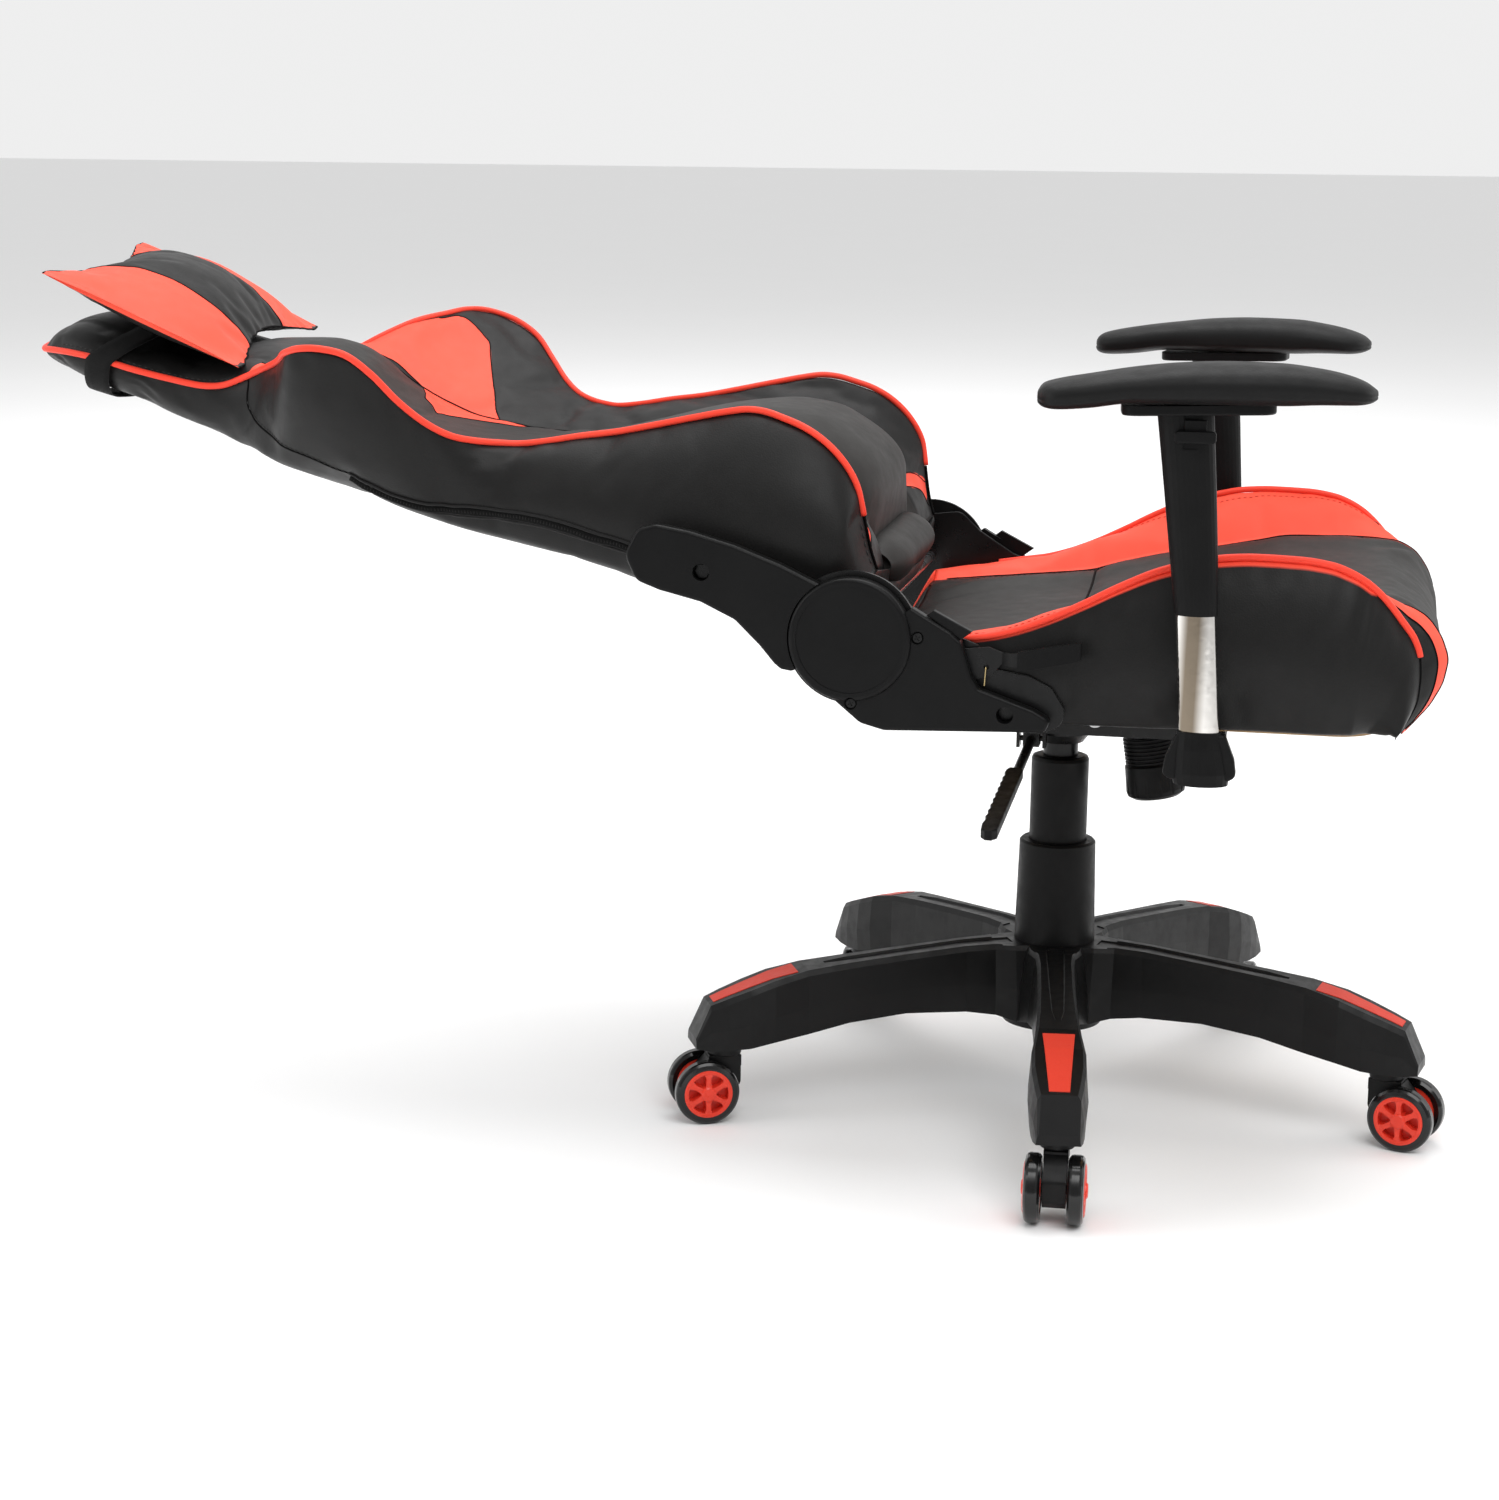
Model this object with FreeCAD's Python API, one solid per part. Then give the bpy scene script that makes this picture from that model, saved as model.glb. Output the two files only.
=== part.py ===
import FreeCAD, Part
import math, os

# Reclining racing-style desk chair. Millimetres. +X is the way the seat faces, +Y the sitter's left,
# +Z up. The origin is on the floor under the centre of the gas lift. The chair is stored with its
# backrest laid right back, the arms up and the gas lift at the bottom of its stroke.

V = FreeCAD.Vector
os.makedirs("parts", exist_ok=True)

# ---------------------------------------------------------------- driving dimensions
# star base and casters
arm_angles = [-83.6, -155.6, -11.6, 60.4, 132.4]
caster_r = 320.0            # column axis to caster stem
stem_r = 5.5                # caster stem
wheel_r = 30.0
wheel_in, wheel_out = 11.5, 25.5   # wheel faces, measured along the axle from the fork's middle
hub_out = 28.5              # crown of the red hub
axle_r = 4.0
trail = 20.0                # stem axis to axle
trail_deg = {0: -88.0, 1: -156.5, 2: -17.5, 3: 84.0, 4: 96.0}
run = 0.05                  # radial clearance of running fits
gap = 0.5                   # working clearance between moving pieces
hub_top = 156.0
# gas lift
outer_r, outer_wall = 25.0, 2.2
outer_z0, outer_z1 = 84.0, 325.0
cyl_r = 14.0
rod_r = 5.0
lift_stroke = 80.0
cover_low_z = (156.2, 253.0)
cover_low_r = (37.8, 35.6)
cover_up_z = (166.0, 334.0)
cover_up_r = 26.8
# tilt mechanism
pivot_x, pivot_z = 35.0, 380.0
pivot_r = 5.0
house_w = 45.0              # half width
house_z0 = 362.0
plate_z = (398.9, 402.9)
knob_x, knob_z0, knob_z1 = 86.0, 299.0, 360.0
knob_tilt = 9.0             # degrees, bottom leans to the front
knob_r = 27.5
# seat
pan_z = (403.0, 409.0)
seat_half = 200.0           # middle panel half width
seat_pipe_y = 241.0
# recliner
hx, hz = -160.0, 480.0      # hinge axis
disc_r = 53.0
back_deg = 15.0             # backrest above level, laid back
plate_in = 244.6            # seat-side steel plate, inner face, both sides
plate_t = 4.0
bplate_in = 249.2           # backrest-side steel plate
cover_in, cover_out = 254.0, 265.5
disc_out = 269.5
# arms
arm_y = 288.0
arm_lean = 4.0
arm_foot_x, arm_foot_z = 141.0, 377.0
post_top_z = 600.0
sleeve_z = (518.0, 682.0)
pad_toe = 6.0


# ---------------------------------------------------------------- helpers
def poly(pts):
    return Part.makePolygon([V(*p) for p in pts] + [V(*pts[0])])


def outline(pts):
    """Closed wire in 2-D of (a, b) or (a, b, corner radius)."""
    P = [(p[0], p[1], (p[2] if len(p) > 2 else 0.0)) for p in pts]
    n = len(P)
    edges = []
    starts, ends = [], []
    mids = []
    for i in range(n):
        a, b, r = P[i]
        pa, pb, _ = P[i - 1]
        na, nb, _ = P[(i + 1) % n]
        u = V(pa - a, pb - b, 0)
        w = V(na - a, nb - b, 0)
        lu, lw = u.Length, w.Length
        u.normalize()
        w.normalize()
        c = V(a, b, 0)
        ang = math.acos(max(-1, min(1, u.dot(w))))
        if r <= 0 or ang > math.radians(176):
            starts.append(c)
            ends.append(c)
            mids.append(None)
            continue
        t = r / math.tan(ang / 2)
        t = min(t, lu * 0.48, lw * 0.48)
        rr = t * math.tan(ang / 2)
        bis = (u + w)
        bis.normalize()
        cen = c + bis * (rr / math.sin(ang / 2))
        starts.append(c + u * t)
        ends.append(c + w * t)
        mids.append(cen - bis * rr)
    for i in range(n):
        if mids[i] is not None:
            edges.append(Part.Arc(starts[i], mids[i], ends[i]).toShape())
        j = (i + 1) % n
        if (ends[i] - starts[j]).Length > 1e-6:
            edges.append(Part.makeLine(ends[i], starts[j]))
    return Part.Wire(edges)


def prism(pts, h, edge=0.0, both=False):
    """2-D outline in XY pulled up along Z by h, its top edges rounded."""
    f = Part.Face(outline(pts))
    s = f.extrude(V(0, 0, h))
    if edge > 0:
        es = []
        for e in s.Edges:
            zs = [v.Point.z for v in e.Vertexes]
            if all(abs(z - h) < 1e-6 for z in zs) or (both and all(abs(z) < 1e-6 for z in zs)):
                es.append(e)
        for k in (1.0, 0.6, 0.35):
            try:
                g = s.makeFillet(edge * k, es)
                if g.isValid() and g.Volume > 0.5 * s.Volume:
                    return g
            except Exception:
                pass
    return s


def to_y(s, y, side):
    """Takes a prism standing on XY to one whose base is at |y| and which grows outwards.
    2-D a becomes X and b becomes Z. side -1 is the sitter's right."""
    m = FreeCAD.Matrix()
    # (a, b, h) -> (a, side*(y+h), b)
    m.A11, m.A12, m.A13, m.A14 = 1, 0, 0, 0
    m.A21, m.A22, m.A23, m.A24 = 0, 0, side, side * y
    m.A31, m.A32, m.A33, m.A34 = 0, 1, 0, 0
    if side > 0:
        # a mirrored map keeps solids the right way out when it is made from a mirror and a rotation
        t = s.copy()
        t.rotate(V(0, 0, 0), V(1, 0, 0), 90)          # (a, -h, b)
        t = t.mirror(V(0, 0, 0), V(0, 1, 0))          # (a, h, b)
        t.translate(V(0, y, 0))
        return t
    t = s.copy()
    t.rotate(V(0, 0, 0), V(1, 0, 0), 90)              # (a, -h, b)
    t.translate(V(0, -y, 0))
    return t


def ybox(x0, x1, y0, y1, z0, z1):
    return Part.makeBox(x1 - x0, y1 - y0, z1 - z0, V(x0, y0, z0))


def yprism(xz, y0, y1):
    f = Part.Face(poly([(x, y0, z) for x, z in xz]))
    return f.extrude(V(0, y1 - y0, 0))


def cyl(r, p, d, h):
    return Part.makeCylinder(r, h, V(*p), V(*d))


def loft(secs):
    return Part.makeLoft([poly(s) for s in secs], True, True)


def lathe(rz):
    f = Part.Face(poly([(r, 0, z) for r, z in rz]))
    return f.revolve(V(0, 0, 0), V(0, 0, 1), 360)


def mirror_y(s):
    return s.mirror(V(0, 0, 0), V(0, 1, 0))


def fuse(items):
    s = items[0]
    if len(items) > 1:
        s = s.fuse(items[1:])
    try:
        s = s.removeSplitter()
    except Exception:
        pass
    return s


def lerp(t, xs, ys):
    if t <= xs[0]:
        return ys[0]
    for i in range(1, len(xs)):
        if t <= xs[i]:
            k = (t - xs[i - 1]) / (xs[i] - xs[i - 1])
            return ys[i - 1] + k * (ys[i] - ys[i - 1])
    return ys[-1]


def B(u, y, v):
    """Backrest frame: u up the back from the hinge axis, v out of its front face."""
    b = math.radians(back_deg)
    return (hx - u * math.cos(b) + v * math.sin(b), y, hz + u * math.sin(b) + v * math.cos(b))


def fillet_some(s, r, test):
    es = [e for e in s.Edges if test(e)]
    for k in (1.0, 0.6, 0.3):
        try:
            g = s.makeFillet(r * k, es)
            if g.isValid():
                return g
        except Exception:
            pass
    return s


nodes = {}


def keep(name, shape):
    if isinstance(shape, list):
        solids = []
        for s in shape:
            solids += s.Solids
        shape = solids[0] if len(solids) == 1 else Part.makeCompound(solids)
    nodes[name] = shape


# ---------------------------------------------------------------- star base
# arm stations: r, top z, bottom z, half width of the flat top, half width at mid height, at the bottom
arm_st = [
    (18, 156.0, 79.0, 26, 40, 40),
    (46, 157.0, 85.0, 22, 31, 33),
    (64, 157.0, 90.0, 15.5, 22, 24),
    (92, 156.0, 93.5, 14, 19, 20),
    (150, 151.0, 95.0, 14, 18.5, 19),
    (205, 146.0, 89.0, 15, 19, 19),
    (245, 141.5, 80.5, 17, 20.5, 20),
    (277, 134.0, 75.5, 20.5, 25.5, 23.5),
    (300, 126.0, 71.0, 20.5, 26, 24),
    (322, 118.0, 69.5, 18, 24, 23),
    (337, 112.0, 70.0, 15.5, 21.5, 21.5),
    (351, 81.0, 72.0, 16.5, 18.5, 19.0),
]
st_r = [s[0] for s in arm_st]


def arm_section(r, zt, zb, wt, wm, wb, drop=5.0):
    zm = zb + 0.42 * (zt - zb)
    d = min(drop, 0.3 * (zt - zb))
    return [(r, -wb, zb), (r, -wm, zm), (r, -wt - 3.0 * d / 5.0, zt - d), (r, -wt, zt),
            (r, wt, zt), (r, wt + 3.0 * d / 5.0, zt - d), (r, wm, zm), (r, wb, zb)]


def top_at(r):
    return lerp(r, st_r, [s[1] for s in arm_st])


def bot_at(r):
    return lerp(r, st_r, [s[2] for s in arm_st])


def wid_at(r):
    return lerp(r, st_r, [s[5] for s in arm_st])


insert_r = [254.0, 277.0, 300.0, 322.0, 333.0]


def insert_loft(grow, z0, z1):
    secs = []
    for i, r in enumerate(insert_r):
        rr = r - grow if i == 0 else (r + grow if i == len(insert_r) - 1 else r)
        w = 14.0 + (8.8 - 14.0) * (r - insert_r[0]) / (insert_r[-1] - insert_r[0]) + grow
        z = top_at(r)
        secs.append([(rr, -w, z + z0), (rr, -w, z + z1), (rr, w, z + z1), (rr, w, z + z0)])
    return loft(secs)


def one_arm():
    a = loft([arm_section(*s) for s in arm_st])
    # hollow under the arm, crossed by stiffening ribs
    secs = []
    for r in (60, 92, 150, 205, 245, 277, 296):
        zt, zb, w = top_at(r) - 5.5, bot_at(r) - 4.0, wid_at(r) - 5.0
        secs.append([(r, -w, zb), (r, -w + 4, zt), (r, w - 4, zt), (r, w, zb)])
    cav = loft(secs)
    ribs = [ybox(r - 1.5, r + 1.5, -30, 30, 60, 170) for r in (92, 128, 164, 200, 236, 268)]
    spine = ybox(50, 300, -1.5, 1.5, 104, 170)
    cav = cav.cut(fuse(ribs + [spine]))
    a = a.cut(cav)
    # socket for the caster stem
    a = a.cut(cyl(stem_r + run, (caster_r, 0, 60), (0, 0, 1), 45))
    # seat of the coloured insert
    a = a.cut(insert_loft(0.15, -1.7, 6.0))
    # shallow channel on top of the arm next to the hub
    ch = []
    for r, w in ((44, 9.0), (92, 8.5), (150, 7.5), (205, 6.0), (226, 3.0)):
        z = top_at(r)
        ch.append([(r, -w + 1.5, z - 2.2), (r, -w - 1.5, z + 3), (r, w + 1.5, z + 3), (r, w - 1.5, z - 2.2)])
    a = a.cut(loft(ch))
    return a


arm = one_arm()
hub = lathe([(0, 77), (47, 77), (50, 84), (49, 110), (45, 140), (43, 150), (40.5, hub_top), (0, hub_top)])
pieces = [hub]
for ang in arm_angles:
    t = arm.copy()
    t.rotate(V(0, 0, 0), V(0, 0, 1), ang)
    pieces.append(t)
base = fuse(pieces)
# bore for the gas lift and the relief under the hub
base = base.cut(cyl(outer_r + 0.02, (0, 0, 70), (0, 0, 1), 120))
base = base.cut(lathe([(outer_r + 4, 70), (41, 70), (41, 88), (38, 128), (outer_r + 4, 128)]))
# keep the top of the hub flat under the column cover
base = base.cut(cyl(60, (0, 0, hub_top), (0, 0, 1), 10))
keep("star_base", base)

ins = []
for ang in arm_angles:
    t = insert_loft(0.0, -1.6, 0.6)
    t.rotate(V(0, 0, 0), V(0, 0, 1), ang)
    ins.append(t)
keep("base_arm_inserts", ins)

# ---------------------------------------------------------------- casters
ax_m = 0.5 * (wheel_in + wheel_out)


def wheel_local(side):
    """Wheel about the axle, which runs along Y here, with its crown on the outside (side +1: +Y)."""
    # tyre ring
    w0, w1 = wheel_in, wheel_out
    ri = 22.6
    tyre = lathe([(ri, w0), (27.0, w0), (wheel_r - 0.6, w0 + 2.0), (wheel_r, w0 + 3.6), (wheel_r, w1 - 4.0),
                  (wheel_r - 0.7, w1 - 2.2), (27.2, w1 - 0.6), (24.0, w1), (ri, w1)])
    # hub: web, rim ring, centre boss and six spokes
    web = lathe([(axle_r + run, w0 + 1.0), (ri - 0.02, w0 + 1.0), (ri - 0.02, w0 + 5.0), (axle_r + run, w0 + 5.0)])
    rim = lathe([(18.8, w0 + 4.5), (ri - 0.02, w0 + 4.5), (ri - 0.02, w1 + 0.4), (20.8, w1 + 0.9), (18.8, w1 + 0.4)])
    boss = lathe([(axle_r + run, w0), (8.0, w0), (8.0, w0 + 4.5), (7.0, hub_out - 1.4), (5.6, hub_out - 0.3), (0, hub_out),
                  (0, w1 - 1.5), (axle_r + run, w1 - 1.5)])
    hubparts = [web, rim, boss]
    for k in range(6):
        sp = loft([
            [(4.5, -3.4, w0 + 5.0), (4.5, -3.4, hub_out - 1.6), (4.5, 3.4, hub_out - 1.6), (4.5, 3.4, w0 + 5.0)],
            [(9.0, -2.3, w0 + 5.0), (9.0, -2.3, hub_out - 2.0), (9.0, 2.3, hub_out - 2.0), (9.0, 2.3, w0 + 5.0)],
            [(15.0, -2.1, w0 + 5.0), (15.0, -2.1, w1 + 0.8), (15.0, 2.1, w1 + 0.8), (15.0, 2.1, w0 + 5.0)],
            [(20.0, -4.6, w0 + 5.0), (20.0, -4.6, w1 + 0.2), (20.0, 4.6, w1 + 0.2), (20.0, 4.6, w0 + 5.0)],
        ])
        sp.rotate(V(0, 0, 0), V(0, 0, 1), 60 * k + 30)
        sp = sp.cut(cyl(axle_r + run, (0, 0, w0 - 1), (0, 0, 1), w1 - 1.5 - w0 + 1))
        hubparts.append(sp)
    h = fuse(hubparts)
    out = []
    for s in (tyre, h):
        s = s.copy()
        s.rotate(V(0, 0, 0), V(1, 0, 0), -90)     # +Z axis -> +Y
        if side < 0:
            s = s.mirror(V(0, 0, 0), V(0, 1, 0))
        out.append(s)
    return out


def fork_local():
    """Caster body: stem on the Z axis, axle at X = trail, z = wheel_r."""
    web = prism([(-13.5, 60, 2), (-13.5, 34, 8), (4, 16.5, 10), (26, 14.0, 8), (34, 22, 8), (34, 40, 8), (24, 52, 6), (16, 60, 2)], 20.0)
    web.rotate(V(0, 0, 0), V(1, 0, 0), 90)
    web.translate(V(0, 10.0, 0))
    collar = lathe([(0, 57), (8, 57), (8, 61.6), (14.6, 61.6), (15.5, 62.5), (15.5, 67.4), (14.5, 68.6), (0, 68.6)])
    flare = prism([(-13.8, 50, 2), (16, 50, 4), (17, 62, 1), (-13.8, 62, 1)], 21.0)
    flare.rotate(V(0, 0, 0), V(1, 0, 0), 90)
    flare.translate(V(0, 10.5, 0))
    stem = cyl(stem_r, (0, 0, 60), (0, 0, 1), 42.0)
    ring = lathe([(0, 101.9), (stem_r, 101.9), (stem_r - 1.5, 104.0), (0, 104.0)])
    f = fuse([web, collar, flare, stem, ring])
    ax = cyl(axle_r, (trail, -(wheel_out - 2.0), wheel_r), (0, 1, 0), 2 * (wheel_out - 2.0))
    return fuse([f, ax])


fork0 = fork_local()
wheels0 = {"left": wheel_local(1), "right": wheel_local(-1)}
for k, ang in enumerate(arm_angles):
    cx, cy = caster_r * math.cos(math.radians(ang)), caster_r * math.sin(math.radians(ang))
    f = fork0.copy()
    f.rotate(V(0, 0, 0), V(0, 0, 1), trail_deg[k])
    f.translate(V(cx, cy, 0))
    keep("caster_fork_%d" % (k + 1), f)
    for sd in ("left", "right"):
        sol = []
        for s in wheels0[sd]:
            s = s.copy()
            s.translate(V(trail, 0, wheel_r))
            s.rotate(V(0, 0, 0), V(0, 0, 1), trail_deg[k])
            s.translate(V(cx, cy, 0))
            sol.append(s)
        keep("caster_wheel_%d_%s" % (k + 1, sd), sol)

# ---------------------------------------------------------------- gas lift
tube = cyl(outer_r, (0, 0, outer_z0), (0, 0, 1), outer_z1 - outer_z0).cut(
    cyl(outer_r - outer_wall, (0, 0, outer_z0 + 4), (0, 0, 1), 400)).cut(cyl(rod_r + 1.0, (0, 0, 60), (0, 0, 1), 60))
keep("gas_lift_outer_tube", tube)
ri = outer_r - outer_wall - 0.02
bush = lathe([(cyl_r + run, 238), (ri, 238), (ri, outer_z1), (outer_r, outer_z1 + 0.05), (outer_r, outer_z1 + 2.5), (cyl_r + run, outer_z1 + 2.5)])
keep("gas_lift_guide_bush", bush)
bearing = lathe([(rod_r + 1.0, 88.05), (15, 88.05), (15, 90.5), (13.5, 90.5), (13.5, 92.5), (15, 92.5), (15, 95.0), (rod_r + 1.0, 95.0)])
keep("thrust_bearing", bearing)
rod = fuse([cyl(rod_r, (0, 0, 79.5), (0, 0, 1), 262.0),
            cyl(10.0, (0, 0, 95.4), (0, 0, 1), 4.0),
            cyl(8.5, (0, 0, 80.5), (0, 0, 1), 2.8),
            cyl(11.0 - run, (0, 0, 330.0), (0, 0, 1), 9.0)])
keep("gas_lift_piston_rod", rod)
gcyl = lathe([(rod_r + run, 106), (cyl_r - 1, 106), (cyl_r, 107), (cyl_r, 350), (cyl_r - 1.2, 374), (6.0, 374), (6.0, 380),
              (0, 380), (0, 352), (11.0, 352), (11.0, 118), (rod_r + run, 118)])
keep("gas_lift_cylinder", gcyl)
zl0, zl1 = cover_low_z
low = lathe([(33.5, zl0), (cover_low_r[0], zl0), (cover_low_r[1], zl1 - 2.0), (cover_low_r[1] - 2.0, zl1), (cover_up_r + 0.6, zl1),
             (cover_up_r + 0.6, zl1 - 4.0), (32.0, zl1 - 4.0)])
keep("column_cover_lower", low)
zu0, zu1 = cover_up_z
up = lathe([(outer_r + 0.6, zu0), (cover_up_r, zu0), (cover_up_r, zu1 - 4.0), (cover_up_r - 1.2, zu1 - 1.2), (cover_up_r - 4.5, zu1),
            (cyl_r + 0.02, zu1), (cyl_r + 0.02, zu1 - 3.0), (outer_r + 0.6, zu1 - 3.0)])
keep("column_cover_upper", up)

# ---------------------------------------------------------------- tilt mechanism
side_prof = [(-70, house_z0), (112, house_z0), (112, 384), (100, 388), (10, 388), (-66, 371), (-70, 369)]
body = yprism(side_prof, -house_w, house_w)
body = body.cut(ybox(-67, 109, -house_w + 3, house_w - 3, house_z0 + 3, 420))
neck = lathe([(0, 334.3), (16.2, 334.3), (16.2, 347.0), (21, 347.5), (27.5, 356.0), (27.5, house_z0 + 0.5), (22, 366), (19, 372), (0, 372)])
body = fuse([body, neck])
taper = lathe([(0, 330), (cyl_r + 0.02, 330), (cyl_r + 0.02, 350), (cyl_r - 1.18, 374.0), (0, 374.0)])
body = body.cut(taper)
body = body.cut(cyl(7.0, (0, 0, 350), (0, 0, 1), 40))
# pivot cross tube bosses and the window for the height lever
for sy in (-1, 1):
    boss = cyl(11, (pivot_x, sy * (house_w - 3), pivot_z - 4), (0, -sy, 0), 8)
    body = fuse([body, boss])
body = body.cut(cyl(pivot_r + 0.02, (pivot_x, -80, pivot_z), (0, 1, 0), 160))
# ears under the housing that carry the height lever's sleeve
lv0 = V(-24.0, -36.0, 355.1)          # point on the lever's axis inside the sleeve
lv_d = V(-0.0143, -0.9966, -0.0811)
lv_d.normalize()
ears = [ybox(-37.5, -34.5, -44, -28, 347.5, house_z0 + 1), ybox(-13.5, -10.5, -44, -31.0, 347.5, house_z0 + 1)]
body = fuse([body] + ears)
body = body.cut(cyl(2.5 + run, (-40, -36, 355.1), (1, 0, 0), 32))
# clearance for the lever's inner end under the housing
body = body.cut(ybox(-34.4, -13.6, -46, -20, 344.0, house_z0 + 1.5).cut(cyl(27.6, (0, 0, 340), (0, 0, 1), 30)))
# screw boss for the tension knob
kd = V(math.sin(math.radians(knob_tilt)), 0, -math.cos(math.radians(knob_tilt)))
kc = V(knob_x, 0, 330.0)              # a point on the knob's axis
body = body.cut(Part.makeCylinder(6.0 + 0.6, 60, kc - kd * 60, kd))
keep("tilt_mechanism_housing", body)
keep("tilt_pivot_pin", fuse([cyl(pivot_r, (pivot_x, -54, pivot_z), (0, 1, 0), 108),
                             cyl(8, (pivot_x, -56.5, pivot_z), (0, 1, 0), 2.8), cyl(8, (pivot_x, 53.7, pivot_z), (0, 1, 0), 2.8)]))

# tension knob: a fluted cap below a ribbed neck, on a screw
prof = [(0, 0), (22.0, 0), (26.5, 3.0), (knob_r, 7.0), (26.0, 31.0), (24.0, 33.0)]
z = 33.0
while z < 57.0:
    prof += [(25.0, z + 0.8), (25.0, z + 2.2), (23.2, z + 2.6), (23.2, z + 3.4)]
    z += 3.6
prof += [(20.0, z + 0.6), (0, z + 0.6)]
knob = lathe(prof)
flutes = []
for k in range(14):
    a = math.radians(360.0 / 14 * k)
    flutes.append(cyl(2.6, ((knob_r + 1.6) * math.cos(a), (knob_r + 1.6) * math.sin(a), 4.0), (0, 0, 1), 27.0))
knob = knob.cut(Part.makeCompound(flutes))
screw = cyl(6.0, (0, 0, 40), (0, 0, 1), 44)
knob = fuse([knob, screw])
# knob axis: local +Z goes up along -kd
rot = FreeCAD.Rotation(V(0, 0, 1), kd * -1)
knob.Placement = FreeCAD.Placement(kc + kd * (330.0 - knob_z0), rot)
keep("tension_knob", knob)

# tension spring round the screw, inside the housing
spr_out, spr_in = [], []
for i in range(4):
    z0 = 0.2 + 4.2 * i
    spr_out += [(11.0, z0), (12.4, z0 + 0.8), (12.4, z0 + 2.4), (11.0, z0 + 3.2)]
    spr_in += [(10.0, z0), (8.8, z0 + 0.8), (8.8, z0 + 2.4), (10.0, z0 + 3.2)]
spr = lathe([(10.0, 0.0), (11.0, 0.0)] + spr_out[1:] + [(11.0, 16.8), (10.0, 16.8)] + spr_in[::-1][:-1])
spr.translate(V(0, 0, 0))
spr.Placement = FreeCAD.Placement(kc - kd * 39.0, rot)
keep("tension_spring", spr)

# height lever: sleeve rocking under the housing, rod sliding in it, flat grip
slv = ybox(-31.5, -16.5, -44.5, -27.5, 348.6, 361.3)
slv = fuse([slv, cyl(2.5, (-38, -36, 355.1), (1, 0, 0), 28)])
p0 = lv0 - lv_d * 30
slv = slv.cut(Part.makeCylinder(4.5 + run, 80, p0, lv_d))
keep("height_lever_sleeve", slv)
rodl = Part.makeCylinder(4.5, 152, lv0 - lv_d * 11.5, lv_d)
keep("height_lever_rod", rodl)
# grip: flat, with a scalloped lower edge; local x along the lever, y across it, z up
L = 184.0
gp = [(0, -5.5), (6, -7.5)]
n = 9
for i in range(n):
    x0 = 14 + i * (L - 40) / n
    gp += [(x0, -8.0), (x0 + (L - 40) / n * 0.5, -6.6)]
gp += [(L - 22, -8.0), (L - 6, -7.0), (L, -3.0), (L, 3.0), (L - 6, 7.0), (6, 7.5), (0, 5.5)]
grip = prism(gp, 9.0, edge=1.6, both=True)
grip.translate(V(0, 0, -4.5))
ex = lv_d
ez = V(0, 0, 1) - lv_d * lv_d.z
ez.normalize()
ey = ez.cross(ex)
m = FreeCAD.Matrix(ex.x, ey.x, ez.x, 0, ex.y, ey.y, ez.y, 0, ex.z, ey.z, ez.z, 0, 0, 0, 0, 1)
g0 = lv0 + lv_d * 124.0
grip.Placement = FreeCAD.Placement(FreeCAD.Matrix(ex.x, ey.x, ez.x, g0.x, ex.y, ey.y, ez.y, g0.y, ex.z, ey.z, ez.z, g0.z, 0, 0, 0, 1))
grip = grip.cut(Part.makeCylinder(4.55, 152, lv0 - lv_d * 11.5, lv_d))
keep("height_lever_grip", grip)

# plate that carries the seat and rocks on the pivot
tp = prism([(-112, -96, 14), (-112, 96, 14), (122, 96, 14), (122, -96, 14)], plate_z[1] - plate_z[0])
tp.translate(V(0, 0, plate_z[0]))
for x in (-88, 98):
    for y in (-78, 78):
        tp = tp.cut(cyl(3.3, (x, y, 380), (0, 0, 1), 40))
tp = tp.cut(cyl(9.0, (0, 0, 380), (0, 0, 1), 40))
cheeks = []
for sy in (-1, 1):
    y0, y1 = (-50.5, -47.0) if sy < 0 else (47.0, 50.5)
    cheeks.append(yprism([(pivot_x - 40, plate_z[0] + 0.5), (pivot_x - 14, pivot_z - 10), (pivot_x + 14, pivot_z - 10), (pivot_x + 50, plate_z[0] + 0.5)], y0, y1))
tp = fuse([tp] + cheeks)
tp = tp.cut(cyl(pivot_r + run, (pivot_x, -80, pivot_z), (0, 1, 0), 160))
keep("tilt_top_plate", tp)

# ---------------------------------------------------------------- seat
pan = prism([(-146, -196, 20), (-146, 196, 20), (286, 196, 40), (286, -196, 40)], pan_z[1] - pan_z[0])
pan.translate(V(0, 0, pan_z[0]))
for x in (-88, 98):
    for y in (-78, 78):
        pan = pan.cut(cyl(3.3, (x, y, 380), (0, 0, 1), 60))
keep("seat_pan", pan)

sx = [-154, -84, 1, 79, 137, 199, 271]
sz = [463, 470, 478, 498, 508, 520, 521]
seat_dip = 12.0
top_pts = []
for x in (-150, -110, -84, -40, 1, 40, 79, 110, 137, 170, 199, 235, 271):
    top_pts.append((x, lerp(x, sx, sz)))
front = [(300, 520), (318, 514), (330, 503), (339, 489), (344, 474), (343, 460), (336, 441), (325, 424), (314, 410)]


def seat_sec(y, drop_rear, dip, front_in):
    pts = [(-150, pan_z[1] + 0.3)]
    for x, zz in top_pts:
        k = max(0.0, min(1.0, (-60 - x) / 90.0))
        pts.append((x, zz - dip - drop_rear * k))
    for i, (x, zz) in enumerate(front):
        pts.append((x - front_in, zz - dip * (1 - i / 8.0) * 0.8))
    pts[-1] = (pts[-1][0], pan_z[1] + 0.3)
    return [(a, y, b) for a, b in pts]


secs = []
for y in (-199.8, -150, -75, 0, 75, 150, 199.8):
    k = abs(y) / 200.0
    secs.append(seat_sec(y, 4.0, seat_dip * (1 - k ** 2), 12.0 * k ** 3))
keep("seat_cushion", loft(secs))

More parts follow.
